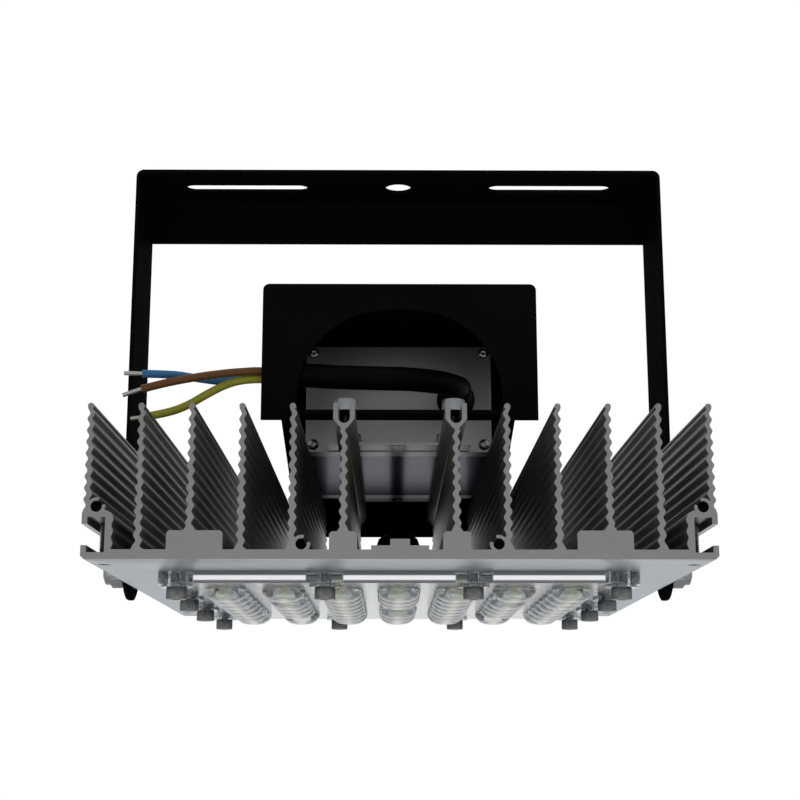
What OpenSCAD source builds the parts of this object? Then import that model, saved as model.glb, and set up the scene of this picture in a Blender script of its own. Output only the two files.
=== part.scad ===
// Industrial flood light: a finned aluminium lamp head that tilts in a bent steel yoke.
// Own frame in millimetres: the origin is the centre hole on top of the yoke's crossbar,
// X runs across the fins, Y runs away from the viewer along the fins, Z is up.
// The lamp head is drawn about its own point, the middle of the heat sink's underside.

/* [Heat sink] */
// Overall width across the fins
sink_w = 200; // [190:1:230]
// Length of the extrusion, front to back
sink_l = 236; // [230:1:290]
// Thickness of the base plate
base_t = 3; // [2.6:0.1:4]
// Height of the fin tips above the underside
fin_top = 49.9; // [46:0.1:58]
// Plain fins on each side of the grooved pair
fin_count = 5; // [4:1:6]
// Fin thickness near the tip
fin_tip_t = 1.5; // [1.2:0.1:2]
// Fin thickness near the root
fin_root_t = 2.1; // [1.8:0.1:2.6]
// Height of one wave in a fin
wave_p = 3.7; // [3:0.1:5]
// How far a fin's middle line swings to each side
wave_a = 0.42; // [0.2:0.02:0.6]
// Radius of the round bead on a fin tip
bead_r = 1; // [0.8:0.05:1.3]
// Distance of each grooved fin from the centre line
groove_x = 17.9; // [17:0.1:22]
// Width inside the screw groove
groove_w = 3.7; // [3.4:0.1:3.9]
// Depth of the screw groove below the fin tips
groove_depth = 6.5; // [6:0.1:9]
// Wall of the screw groove
groove_wall = 1.6; // [1.2:0.1:2]
// Width of the thick foot under each grooved fin
foot_w = 8.8; // [7:0.1:10]
// Height of the thick foot under each grooved fin
foot_h = 8.7; // [7:0.1:10]
// Width of the thick block under the third plain fin
block_w = 17.7; // [14:0.1:19]
// Height of the thick block under the third plain fin
block_h = 9; // [7:0.1:10]
// Width of the raised pad on the centre line
pad_w = 18.2; // [16:0.1:20]
// Height of the raised pad above the underside
pad_h = 4.3; // [3.6:0.1:5]
// Width of the rib along the pad
rib_w = 6.2; // [4:0.1:8]
// Height of the rib above the underside
rib_h = 6.35; // [5.5:0.05:7]
// Shift of the thick block from its fin towards the centre line
block_shift = 1.7; // [0:0.1:2]
// Radius of the open screw ports
port_r = 1.75; // [1.5:0.05:1.9]

/* [Side channels] */
// Depth of each side channel behind its lips
channel_d = 5.6; // [4.8:0.1:6]
// Height inside each side channel
channel_h = 11.1; // [10.6:0.1:12]
// Thickness of the channel's lips and back wall
channel_lip = 1.8; // [1.6:0.1:2.2]
// Thickness under the channel
channel_floor = 2.1; // [1.8:0.1:2.6]
// Height of the slot between the lips
channel_slot = 6.7; // [6.4:0.1:7.4]
// Distance of the channel's set screws from the extrusion's ends
channel_screw_inset = 17; // [12:1:40]

/* [Yoke] */
// Sheet thickness of the yoke
yoke_t = 1.5; // [1.2:0.1:3]
// Width of the yoke's strip, front to back
yoke_d = 36; // [34:1:44]
// Distance from the strip's near edge to its row of holes
yoke_hole_row = 18; // [16:0.5:20]
// Drop from the crossbar's top to the tilt axis
pivot_drop = 160; // [158:1:190]
// Reach of the arms below the tilt axis
arm_tail = 10.4; // [9:0.1:12]
// Radius of the arms' lower corners
arm_corner_r = 16.5; // [6:0.5:17]
// Height of the stiffening flange behind the crossbar
flange_h = 19.5; // [10:0.5:20]
// Outside bend radius of the yoke
yoke_bend_r = 3; // [3:0.5:5]
// Diameter of the crossbar's centre hole
centre_hole_d = 11; // [8:0.5:13]
// Width of the crossbar's slots
slot_w = 8; // [6:0.5:10]
// Overall length of a slot
slot_l = 50.5; // [30:0.5:52]
// Distance of each slot's middle from the centre hole
slot_x = 62.2; // [58:0.1:64]

/* [Pivots] */
// Thread diameter of the pivot bolts
bolt_d = 6; // [6:0.1:6.2]
// Width across the flats of the bolt heads and lock nuts
bolt_af = 10; // [10:0.1:10.4]
// Height of the bolt heads
bolt_head_h = 4; // [3.5:0.1:4.5]
// Thickness of the spacer between the heat sink and an arm
spacer_t = 3.2; // [2:0.1:5]
// Outside diameter of the spacers and washers
washer_d = 12; // [11:0.5:16]
// Thickness of the outer washers
washer_t = 1.6; // [1:0.1:2]
// Height of the hexagon of a lock nut
nut_hex_h = 4.6; // [4:0.1:5]
// Height of the round collar of a lock nut
nut_collar_h = 2.5; // [2:0.1:3]
// Thread that stands out of a lock nut
bolt_tip = 0.5; // [0.5:0.5:3]
// Clearance all round a bolt in its arm
pivot_clear = 0.08; // [0.04:0.01:0.1]
// Running gap at each face of an arm
arm_gap = 0.3; // [0.2:0.05:0.4]

/* [Driver housing] */
// Width of the driver
driver_w = 70; // [66:0.5:76]
// Height of the driver
driver_h = 40.7; // [36:0.1:43]
// Distance from the driver's rear cap to the heat sink's back end
driver_gap = 35.5; // [32:0.5:45]
// Distance from the heat sink's front to the driver's front cap
driver_inset = 86; // [80:1:88]
// Wall of the aluminium case
case_wall = 2; // [1.6:0.1:3]
// Depth of each end cap
cap_t = 9; // [8:0.5:11]
// Width of the fixing foot of each end cap
foot_plate_w = 53; // [48:0.5:58]
// Reach of the fixing feet beyond their caps
foot_reach = 12.5; // [11:0.5:13]
// Thickness of the fixing feet
foot_t = 1; // [0.8:0.1:2]
// Inset of a cap screw from the driver's sides, top and bottom
cap_screw_inset = 2.8; // [2.7:0.1:3.2]

/* [Hood] */
// Sheet thickness of the hood
hood_t = 1.5; // [1:0.1:2]
// Width of the hood
hood_w = 93.6; // [90:0.1:96]
// Height of the hood above the fin tips
hood_h = 48.3; // [44:0.1:49]
// Distance from the heat sink's front to the hood's front
hood_inset = 25.8; // [22:0.1:27]
// Outside bend radius of the hood
hood_bend_r = 3; // [2:0.25:4]
// Width of the arched window
arch_w = 69.6; // [64:0.2:70]
// Height of the arched window above the fin tips
arch_h = 38.8; // [37:0.2:41]
// Radius of the top of the arch
arch_top_r = 46; // [44:0.5:56]
// Radius of the shoulders of the arch
arch_side_r = 30; // [26:0.5:31]
// Diameter of the heads of the screws in the grooves
groove_head_d = 7.6; // [7:0.1:8]
// Height of the heads of the screws in the grooves
groove_head_h = 4.2; // [3.5:0.1:4.4]
// Length of the fixing tab bent forward below the window
tab_l = 8.8; // [8:0.1:11]
// Drop of the side plates' lower edge per millimetre of length
side_slope = 0.256; // [0.2:0.002:0.26]
// Height of the side plates' lower edge above the fin tips, over the middle of the heat sink
side_mid = 19.5; // [17:0.1:22]
// Reach of the back plate below the fin tips
back_drop = 12.9; // [8:0.1:14]

/* [Lens plate] */
// Side of the square lens plate
lens_plate_w = 164; // [164:0.5:167]
// Thickness of the lens plate's edge
lens_plate_t = 4; // [4:0.1:5]
// Corner radius of the lens plate
lens_corner_r = 7; // [3:0.5:7]
// Spacing of the lens columns
lens_dx = 20.3; // [19:0.1:20.4]
// Spacing of the lens rows
lens_dy = 15.7; // [15.6:0.1:15.8]
// Columns on each side of the middle one
lens_cols = 3; // [2:1:3]
// Rows on each side of the middle line
lens_rows = 4; // [3:1:4]
// Diameter of one lens
lens_d = 15.4; // [14:0.1:15.5]
// Height of a lens below the plate
lens_h = 4.3; // [3.5:0.1:5]
// Diameter of the boss round each screw
boss_d = 11; // [10:0.5:12]
// Height of the bosses below the plate
boss_h = 1; // [0.5:0.1:1.5]
// Distance of the corner screws from the centre lines
corner_screw = 75.5; // [75.5:0.1:76]
// Distance of the front and back screws from the middle
end_screw_x = 25.2; // [25:0.1:25.5]
// Distance of the side screws from the centre line
side_screw_x = 77.7; // [77.5:0.1:78]
// Distance of the side screws from the middle, front to back
side_screw_y = 25; // [20:1:30]

/* [Light source] */
// Thickness of the circuit board
board_t = 1.6; // [1:0.1:1.6]
// Width of the circuit board
board_w = 136; // [134:1:137]
// Length of the circuit board
board_l = 130; // [128:1:131]
// Side of one light emitting package
led_w = 3.5; // [3:0.1:3.6]
// Height of one light emitting package
led_h = 0.7; // [0.5:0.1:0.8]
// Width of the cord of the gasket
gasket_w = 2; // [1.6:0.1:2]
// Depth of the gasket
gasket_t = 1.2; // [1:0.1:1.5]

/* [Cables] */
// Diameter of the mains cable
cable_d = 8.3; // [7.5:0.1:8.5]
// Diameter of one insulated core
core_d = 2.8; // [2.4:0.1:2.8]
// Diameter of a stripped wire end
wire_d = 1.2; // [1:0.1:1.6]
// Diameter of the lead from the driver to the light source
lead_d = 6.2; // [5.6:0.1:6.4]
// Outside diameter of the cable gland's nut
gland_nut_d = 18; // [17.6:0.1:18.2]
// Thread diameter of the cable gland
gland_d = 16; // [15.6:0.1:16]
// Height of the gland above the pad
gland_h = 18.1; // [17:0.1:20]

/* [Hidden] */
$fn = 48;
// Slack of a screw in its tapped hole, and of a piece in its seat
thread_clear = 0.05;
seat_clear = 0.1;
// Overlap of a cutting tool with what it cuts
cut = 1;
// Places worked out from the sizes above
half_w = sink_w / 2;
front_y = -sink_l / 2;
back_y = sink_l / 2;
edge_fin_inset = 1.6;
port_wall = 1.1;
port_lift = 0.2;
edge_cut = 1;
screw_bite = 10;
fin_pitch = (half_w - edge_fin_inset - groove_x) / fin_count;
pivot_y = yoke_d / 2 - yoke_hole_row;
axis_h = channel_floor + channel_h / 2;
root_fillet = 1.6;
wave_steps = 6;
flare_w = 1.1;
flare_h = 1.8;
stem_top = fin_top - groove_depth - groove_wall;
// M4 cap screws hold the lens plate, the hood and the channel bolts
m4_d = 4;
m4_head_d = 7;
m4_head_h = 4;
m4_key = 3;
m4_hole = m4_d / 2 + 0.2;
channel_key = 2;
screw_axis_h = fin_top - groove_depth + m4_d / 2 + 1;
groove_grip = 5.4;
groove_screw_gap = 0.3;
rear_screw_l = 9;
// Side channel walls, seen from the front
channel_out = half_w - channel_lip;
channel_in = channel_out - channel_d;
channel_wall = 2.3;
channel_back = channel_in - channel_wall;
channel_roof = channel_floor + channel_h;
lip_top = channel_roof + channel_lip;
channel_waves = 3;
channel_wave_a = 0.28;
side_port_inset = 3;
side_port_floor = 1.6;
side_port_x = channel_in + side_port_inset;
side_port_z = channel_roof + side_port_floor + port_r;
slot_low = axis_h - channel_slot / 2;
slot_high = axis_h + channel_slot / 2;
channel_screw_x = (channel_in + channel_out) / 2;
// Yoke
arm_in = half_w + spacer_t + arm_gap;
arm_out = arm_in + yoke_t;
relief_w = 2 * (arm_out - yoke_bend_r);
yoke_front = -yoke_hole_row;
yoke_back = yoke_d - yoke_hole_row;
// Driver
driver_front = front_y + driver_inset;
driver_back = back_y - driver_gap;
driver_l = driver_back - driver_front;
driver_z = fin_top;
driver_top = driver_z + driver_h;
case_front = driver_front + cap_t;
case_back = driver_back - cap_t;
foot_lift = 0.3;
foot_slot_w = 4.2;
foot_slot_l = 9;
foot_top = driver_z + foot_lift + foot_t;
mount_screw_out = foot_reach / 2;
mount_screw_hole = m4_d / 2 + 0.15;
mount_front_y = driver_front - mount_screw_out;
mount_back_y = driver_back + mount_screw_out;
cap_screw_d = 2.5;
cap_screw_head_d = 4.2;
cap_screw_head_h = 1.6;
cap_screw_key = 1.3;
cap_screw_l = 14.4;
guide_w = 2;
guide_lift = 8;
guide_z = driver_z + guide_lift;
board_gap = 2;
driver_board_t = 1.6;
transformer = [26, 22, 22];
capacitor_d = 14;
capacitor_h = 20;
coil = [12, 16, 14];
part_x = 14;
cap_screw_x = driver_w / 2 - cap_screw_inset;
cap_screw_low = driver_z + cap_screw_inset;
cap_screw_high = driver_top - cap_screw_inset;
// Hood
hood_front = front_y + hood_inset;
hood_top = fin_top + hood_h;
hood_back = back_y + hood_t;
hood_low = fin_top - back_drop;
tab_screw_y = hood_front - tab_l / 2;
// Lens plate
lens_z = -lens_plate_t;
recess_gap = 0.3;
recess_d = board_t + recess_gap;
gasket_x = board_w / 2 + 2.2;
gasket_y = board_l / 2 + 2.2;
lens_sphere_r = (pow(lens_d / 2, 2) + pow(lens_h, 2)) / (2 * lens_h);
lens_root = 0.2;
cavity_d = 5.4;
board_screw_d = 3;
board_screw_head_d = 5.5;
board_screw_head_h = 1.2;
board_screw_key = 1.5;
board_screw_gap = 0.2;
board_screw_room = 0.6;
lead_hole_d = 10;
// Gland and lead
gland_body_z = pad_h;
gland_hex_h = 5.7;
gland_collar_top = 18.4;
gland_shoulder_top = 21;
gland_corner = 0.97;
gland_gap = 0.4;
gland_room = 2.2;
gland_sleeve_top = 17;
gland_sleeve_d = 14.6;
gland_collar_slope = 1;
gland_shoulder_step = 1.4;
gland_tip_step = 3.25;
gland_shoulder_d = gland_nut_d - 2 * gland_shoulder_step;
gland_tip_d = gland_nut_d - 2 * gland_tip_step;
gland_seal_d = 10.4;
gland_seal_z = 11;
gland_nut_z = gland_body_z + gland_hex_h + gland_gap;
gland_top = gland_body_z + gland_h;
lead_x = 0;
lead_exit_z = driver_z + driver_h / 2;
lead_low_z = 35;
lead_turn_r = (lead_exit_z - lead_low_z) / 2;
lead_boot_l = 3.5;
lead_drop_r = 12.5;
lead_start_y = driver_back + lead_boot_l;
lead_end_z = 0.5;
lead_room = 0.25;
lead_boot_rim = 2.5;
lead_boot_rim_t = 1.2;
lead_boot_root = 1.7;
lead_boot_tip = 0.7;
// Mains cable: it leaves the front cap inside a moulded boot, turns across the hood and
// ends in three cores. Each point of a route is counted from the boot's axis, from the heat
// sink's front end and from the fin tips.
exit_inset = 13.4;
exit_rise = 19.8;
cable_exit_x = driver_w / 2 - exit_inset;
boot_l = 20;
boot_root_d = 14.2;
boot_neck_d = 12.8;
boot_tip_d = 9.8;
boot_flange_t = 2;
boot_end = driver_inset - boot_l;
cable_route = [[0, boot_end, 19.8], [0, boot_end - 1.5, 19.8], [-0.7, 59, 18.8], [-3.1, 52, 17.9],
    [-7, 45.7, 17.4], [-12.2, 40.4, 16.8], [-18.5, 36.3, 16.4], [-25.6, 33.8, 16],
    [-33, 33, 16], [-43.6, 33, 16.3], [-50, 33, 16.7], [-57, 33, 17.1], [-63.6, 33, 17.1]];
brown_route = [[-63.6, 31.5, 18], [-71.6, 31.5, 18], [-79.6, 31.5, 17.4], [-89.6, 31.5, 16.1],
    [-100.6, 31.5, 14], [-109.6, 31.5, 11.7]];
blue_route = [[-63.6, 34.5, 18], [-65.6, 34.5, 18], [-70.5, 35.8, 17.5], [-77.6, 37.4, 16.3],
    [-83.6, 38, 16], [-91.6, 38, 17], [-99.6, 38, 18.2], [-110.6, 38, 18.6]];
yellow_route = [[-63.6, 33, 15.4], [-66, 33, 15.4], [-71, 33, 15.5], [-76.6, 33.4, 15],
    [-81.6, 34, 13.6], [-87.6, 34.5, 10.6], [-93.6, 35, 7.2], [-99.6, 35, 4.7],
    [-108.6, 35, 2.7]];
brown_wire = [[-109.6, 31.5, 11.7], [-116, 31.5, 9.5]];
blue_wire = [[-110.6, 38, 18.6], [-117, 38, 18.8]];
yellow_wire = [[-108.6, 35, 2.7], [-113.6, 35, 1.9]];

// Shared shapes

module in_lamp() {
    translate([0, pivot_y, -pivot_drop - axis_h]) children();
}

module both_sides() {
    children();
    mirror([1, 0, 0]) children();
}

module cap_screw(d, length, head_d, head_h, key) {
    difference() {
        cylinder(d = head_d, h = head_h);
        translate([0, 0, head_h / 2]) cylinder(d = key * 2 / sqrt(3), h = head_h, $fn = 6);
    }
    translate([0, 0, -length]) cylinder(d = d, h = length);
}

module rounded_plate(w, l, t, r) {
    linear_extrude(t) {
        square([w - 2 * r, l], center = true);
        square([w, l - 2 * r], center = true);
        for (x = [-1, 1], y = [-1, 1])
            translate([x * (w / 2 - r), y * (l / 2 - r)]) circle(r = r);
    }
}

module slotted_hole(w, l, t) {
    for (x = [-1, 1])
        translate([x * (l - w) / 2, 0, 0]) cylinder(d = w, h = t, center = true);
    cube([l - w, w, t], center = true);
}

// A tube swept along a route. Each ring stands square to the route, turned about the
// direction named across, and the points between the chosen ones follow a smooth curve.
function unit(v) = v / norm(v);
function tangent(p, i) = unit(p[min(i + 1, len(p) - 1)] - p[max(i - 1, 0)]);
function between(a, b, c, d, t) =
    ((2 * b) + (c - a) * t + (2 * a - 5 * b + 4 * c - d) * pow(t, 2)
    + (3 * b - a - 3 * c + d) * pow(t, 3)) / 2;
function smooth(p, n) = concat(
    [for (i = [0 : len(p) - 2], j = [0 : n - 1])
        between(p[max(i - 1, 0)], p[i], p[i + 1], p[min(i + 2, len(p) - 1)], j / n)],
    [p[len(p) - 1]]);
function ring(c, t, across, r, sides) =
    let (u = unit(cross(t, across)), v = cross(t, u))
    [for (j = [0 : sides - 1]) c + r * (cos(360 * j / sides) * u + sin(360 * j / sides) * v)];

module tube(route, d, sides, across) {
    n = len(route);
    points = [for (i = [0 : n - 1]) each ring(route[i], tangent(route, i), across, d / 2, sides)];
    walls = [for (i = [0 : n - 2], j = [0 : sides - 1])
        let (a = i * sides + j, b = i * sides + (j + 1) % sides)
        each [[a, a + sides, b + sides], [a, b + sides, b]]];
    ends = [[for (j = [0 : sides - 1]) j],
        [for (j = [sides - 1 : -1 : 0]) (n - 1) * sides + j]];
    polyhedron(points = points, faces = concat(walls, ends));
}

// Yoke: one strip of steel sheet bent to a U, with a flange folded down behind the crossbar

module yoke_strip() {
    inner_r = yoke_bend_r - yoke_t;
    total = pivot_drop + arm_tail;
    rotate([90, 0, 0])
        linear_extrude(yoke_d) {
            translate([-arm_out + yoke_bend_r, -yoke_t])
                square([2 * (arm_out - yoke_bend_r), yoke_t]);
            for (side = [-1, 1]) {
                translate([side * (arm_out - yoke_t / 2) - yoke_t / 2, -total])
                    square([yoke_t, total - yoke_bend_r]);
                translate([side * (arm_out - yoke_bend_r), -yoke_bend_r])
                    intersection() {
                        difference() {
                            circle(r = yoke_bend_r);
                            circle(r = inner_r);
                        }
                        translate([side > 0 ? 0 : -yoke_bend_r, 0]) square(yoke_bend_r);
                    }
            }
        }
}

module yoke_flange() {
    inner_r = yoke_bend_r - yoke_t;
    translate([-relief_w / 2, 0, 0])
        rotate([90, 0, 90])
            linear_extrude(relief_w)
                translate([yoke_back - yoke_bend_r, -yoke_bend_r])
                    intersection() {
                        difference() {
                            circle(r = yoke_bend_r);
                            circle(r = inner_r);
                        }
                        square(yoke_bend_r);
                    }
    translate([-arm_in, yoke_back - yoke_t, -flange_h])
        cube([2 * arm_in, yoke_t, flange_h - yoke_bend_r]);
    for (side = [0, 1])
        mirror([side, 0, 0])
            translate([relief_w / 2, yoke_back - yoke_t, -yoke_bend_r])
                cube([arm_in - relief_w / 2, yoke_t, yoke_bend_r - yoke_t]);
}

module arm_end_cut(near) {
    y_edge = near > 0 ? yoke_back : yoke_front;
    centre = y_edge - near * arm_corner_r;
    z_end = -pivot_drop - arm_tail;
    difference() {
        translate([0, centre + near * arm_corner_r / 2 + near * cut / 2,
                z_end + arm_corner_r / 2 - cut / 2])
            cube([2 * arm_out + 2 * cut, arm_corner_r + cut, arm_corner_r + cut], center = true);
        translate([0, centre, z_end + arm_corner_r])
            rotate([0, 90, 0]) cylinder(r = arm_corner_r, h = 2 * arm_out + 4 * cut, center = true);
    }
}

module yoke() {
    color("#141414") {
        difference() {
            translate([0, yoke_back, 0]) yoke_strip();
            translate([-relief_w / 2, yoke_back - yoke_bend_r, -yoke_bend_r])
                cube([relief_w, yoke_bend_r + cut, yoke_bend_r + cut]);
            for (near = [-1, 1]) arm_end_cut(near);
            cylinder(d = centre_hole_d, h = 4 * yoke_t, center = true);
            for (side = [-1, 1])
                translate([side * slot_x, 0, 0]) slotted_hole(slot_w, slot_l, 4 * yoke_t);
            translate([0, pivot_y, -pivot_drop])
                rotate([0, 90, 0])
                    cylinder(r = bolt_d / 2 + pivot_clear, h = 2 * arm_out + 2 * cut, center = true);
        }
        yoke_flange();
    }
}

// Heat sink: one aluminium extrusion with wavy fins, screw grooves, ports and side channels

function fin_thick(z) =
    fin_root_t + (fin_tip_t - fin_root_t) * (z - base_t) / (fin_top - base_t)
    + 2 * pow(max(0, 1 - (z - base_t) / root_fillet), 2);
function fin_mid(z) = wave_a * sin(360 * (z - base_t) / wave_p);
function fin_side(x, side, z0, z1) =
    let (n = ceil((z1 - z0) / wave_p * wave_steps))
    [for (i = [0 : n]) let (z = z0 + (z1 - z0) * i / n)
        [x + fin_mid(z) + side * fin_thick(z) / 2, z]];
function backwards(p) = [for (i = [len(p) - 1 : -1 : 0]) p[i]];

module wavy_fin(x, z0, z1) {
    polygon(concat(fin_side(x, 1, z0, z1), backwards(fin_side(x, -1, z0, z1))));
}

module plain_fin(x, z0) {
    bead_z = fin_top - bead_r;
    wavy_fin(x, z0, bead_z);
    translate([x + fin_mid(bead_z), bead_z]) circle(r = bead_r, $fn = 24);
}

module foot(x, w, h) {
    chamfer = 0.8;
    polygon([[x - w / 2, 0], [x + w / 2, 0], [x + w / 2, h - chamfer],
        [x + w / 2 - chamfer, h], [x - w / 2 + chamfer, h], [x - w / 2, h - chamfer]]);
}

// The flare where a fin grows out of its foot
module fin_flare(x, z) {
    low = fin_root_t / 2 + flare_w;
    high = fin_root_t / 2 - 0.2;
    polygon([[x - low, z - 0.2], [x + low, z - 0.2], [x + low * 0.72, z + flare_h * 0.3],
        [x + high, z + flare_h], [x - high, z + flare_h], [x - low * 0.72, z + flare_h * 0.3]]);
}

module grooved_fin() {
    outer = groove_w / 2 + groove_wall;
    neck = fin_tip_t / 2 + 0.3;
    shoulder_z = fin_top - groove_depth + 1.4;
    wavy_fin(groove_x, base_t, stem_top + 0.5);
    difference() {
        polygon([[groove_x - neck, stem_top], [groove_x + neck, stem_top],
            [groove_x + outer, shoulder_z], [groove_x + outer, fin_top],
            [groove_x - outer, fin_top], [groove_x - outer, shoulder_z]]);
        translate([groove_x, fin_top - groove_depth + groove_w / 2]) {
            circle(d = groove_w);
            translate([-groove_w / 2, 0]) square([groove_w, groove_depth]);
        }
    }
}

module port_wall_ring(x, z) {
    mouth = 2 * (port_r + port_wall);
    difference() {
        translate([x, z]) circle(r = port_r + port_wall);
        translate([x, z])
            polygon([[0, 0], [-mouth, mouth * 0.25], [-mouth, mouth], [-mouth * 0.35, mouth]]);
    }
}

// The inner face of the channel's back wall is wavy like the fins
function channel_face() =
    let (z_low = base_t, z_high = lip_top - 0.6, n = channel_waves * wave_steps)
    [for (i = [0 : n]) let (z = z_low + (z_high - z_low) * i / n)
        [channel_back + channel_wave_a * cos(360 * channel_waves * i / n), z]];

module side_channel() {
    shoulder_x = half_w - 1.1;
    difference() {
        polygon(concat([[channel_back, 0], [half_w - edge_cut, 0], [half_w, edge_cut],
            [half_w, lip_top - 0.4], [shoulder_x, lip_top + 1], [shoulder_x - 1.4, lip_top + 1.4],
            [channel_in + 1, lip_top + 0.5], [channel_in - 0.4, lip_top + 0.3]],
            backwards(channel_face())));
        translate([channel_in, channel_floor]) square([channel_d, channel_h]);
        translate([channel_in, slot_low]) square([channel_d + channel_lip + cut, channel_slot]);
    }
}

module sink_half() {
    first_port_x = groove_x + fin_pitch - fin_root_t / 2 - port_r - port_lift;
    first_port_z = base_t + port_r;
    block_x = groove_x + 3 * fin_pitch;
    difference() {
        union() {
            square([channel_in, base_t]);
            foot(groove_x, foot_w, foot_h);
            fin_flare(groove_x, foot_h);
            grooved_fin();
            for (i = [1 : fin_count - 1]) plain_fin(groove_x + i * fin_pitch, base_t);
            plain_fin(half_w - edge_fin_inset, channel_roof);
            foot(block_x - block_shift, block_w, block_h);
            fin_flare(block_x, block_h);
            port_wall_ring(first_port_x, first_port_z);
            square([pad_w / 2, pad_h]);
            square([rib_w / 2, rib_h]);
            port_wall_ring(side_port_x, side_port_z);
            side_channel();
        }
        translate([first_port_x, first_port_z]) circle(r = port_r);
        translate([side_port_x, side_port_z]) circle(r = port_r);
    }
}

module heat_sink() {
    color("#8b8a86")
        in_lamp()
            difference() {
                rotate([90, 0, 0])
                    linear_extrude(sink_l, center = true) {
                        sink_half();
                        mirror([1, 0]) sink_half();
                    }
                lens_screw_places()
                    translate([0, 0, -cut]) cylinder(r = m4_d / 2 + thread_clear, h = base_t + 2 * cut);
                board_screw_places()
                    translate([0, 0, -cut])
                        cylinder(r = board_screw_d / 2 + thread_clear, h = base_t + 2 * cut);
                translate([0, 0, -cut]) cylinder(r = gland_d / 2 + thread_clear, h = rib_h + 2 * cut);
                translate([0, 0, pad_h]) cylinder(r = gland_nut_d / 2 + gland_room, h = rib_h);
                for (y = [tab_screw_y, mount_front_y, mount_back_y], side = [-1, 1])
                    translate([side * groove_x, y, fin_top - groove_depth + groove_screw_gap])
                        cylinder(r = m4_d / 2 + thread_clear, h = groove_depth + cut);
                for (side = [-1, 1])
                    translate([side * groove_x, back_y + cut, screw_axis_h])
                        rotate([90, 0, 0])
                            cylinder(r = m4_d / 2 + thread_clear, h = screw_bite + cut);
                channel_screw_places()
                    translate([0, 0, -cut])
                        cylinder(r = m4_d / 2 + thread_clear, h = channel_floor + 2 * cut);
            }
}

module channel_screw_places() {
    for (side = [-1, 1], end = [-1, 1])
        translate([side * channel_screw_x, end * (back_y - channel_screw_inset), 0]) children();
}

module channel_screws() {
    color("#77787a")
        in_lamp()
            channel_screw_places()
                difference() {
                    cylinder(d = m4_d, h = channel_roof);
                    translate([0, 0, -cut])
                        cylinder(d = channel_key * 2 / sqrt(3), h = channel_key + cut, $fn = 6);
                }
}

// Lens plate and light source

module lens_screw_places() {
    for (x = [-1, 1], y = [-1, 1]) {
        translate([x * corner_screw, y * corner_screw, 0]) children();
        translate([x * end_screw_x, y * corner_screw, 0]) children();
        translate([x * side_screw_x, y * side_screw_y, 0]) children();
    }
}

module board_screw_places() {
    for (x = [-1, 1], y = [-1, 1])
        translate([x * 2 * lens_dx, y * (lens_rows - 1.5) * lens_dy, 0]) children();
}

// The middle column leaves out its two central lenses for the lead, and each of the four
// board screws takes the place of one lens.
function lens_is_here(col, row) =
    !(col == 0 && abs(row) < 1) && !(abs(col) == 2 && abs(row) == lens_rows - 1.5);

module lens_places() {
    for (col = [-lens_cols : lens_cols], row = [0.5 - lens_rows : lens_rows - 0.5])
        if (lens_is_here(col, row))
            translate([col * lens_dx, row * lens_dy, 0]) children();
}

module lens_plate() {
    recess_w = board_w + 2 * recess_gap;
    recess_l = board_l + 2 * recess_gap;
    color("#a9b0b6")
        in_lamp()
            difference() {
                union() {
                    translate([0, 0, lens_z])
                        rounded_plate(lens_plate_w, lens_plate_w, lens_plate_t, lens_corner_r);
                    lens_screw_places()
                        translate([0, 0, lens_z - boss_h]) cylinder(d = boss_d, h = lens_plate_t + boss_h);
                    lens_places()
                        intersection() {
                            translate([0, 0, lens_z - lens_h + lens_sphere_r]) sphere(r = lens_sphere_r);
                            translate([0, 0, lens_z - lens_h - cut])
                                cylinder(d = lens_d, h = lens_h + cut + lens_root);
                        }
                }
                translate([-recess_w / 2, -recess_l / 2, -recess_d])
                    cube([recess_w, recess_l, recess_d + cut]);
                difference() {
                    translate([-gasket_x - gasket_w / 2, -gasket_y - gasket_w / 2, -gasket_t])
                        cube([2 * gasket_x + gasket_w, 2 * gasket_y + gasket_w, gasket_t + cut]);
                    translate([-gasket_x + gasket_w / 2, -gasket_y + gasket_w / 2, -gasket_t - cut])
                        cube([2 * gasket_x - gasket_w, 2 * gasket_y - gasket_w, gasket_t + 3 * cut]);
                }
                lens_screw_places()
                    translate([0, 0, lens_z - boss_h - cut])
                        cylinder(r = m4_hole, h = lens_plate_t + boss_h + 2 * cut);
                lens_places() translate([0, 0, lens_z]) cylinder(d = cavity_d, h = lens_plate_t);
                board_screw_places()
                    translate([0, 0, -board_t - board_screw_head_h - board_screw_gap])
                        cylinder(d = board_screw_head_d + board_screw_room, h = lens_plate_t);
            }
}

module lens_gasket() {
    color("#c9c9c4")
        in_lamp()
            difference() {
                translate([-gasket_x - gasket_w / 2, -gasket_y - gasket_w / 2, -gasket_t])
                    cube([2 * gasket_x + gasket_w, 2 * gasket_y + gasket_w, gasket_t]);
                translate([-gasket_x + gasket_w / 2, -gasket_y + gasket_w / 2, -gasket_t - cut])
                    cube([2 * gasket_x - gasket_w, 2 * gasket_y - gasket_w, gasket_t + 2 * cut]);
            }
}

module led_board() {
    color("#f1f1ec")
        in_lamp()
            difference() {
                translate([-board_w / 2, -board_l / 2, -board_t]) cube([board_w, board_l, board_t]);
                translate([0, 0, -board_t - cut]) cylinder(d = lead_hole_d, h = board_t + 2 * cut);
                board_screw_places()
                    translate([0, 0, -board_t - cut])
                        cylinder(r = board_screw_d / 2 + seat_clear, h = board_t + 2 * cut);
            }
}

module leds() {
    color("#f2d64a")
        in_lamp()
            lens_places()
                translate([-led_w / 2, -led_w / 2, -board_t - led_h]) cube([led_w, led_w, led_h]);
}

module board_screws() {
    color("#8d8e90")
        in_lamp()
            board_screw_places()
                translate([0, 0, -board_t])
                    mirror([0, 0, 1])
                        cap_screw(board_screw_d, board_t + base_t, board_screw_head_d,
                            board_screw_head_h, board_screw_key);
}

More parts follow.
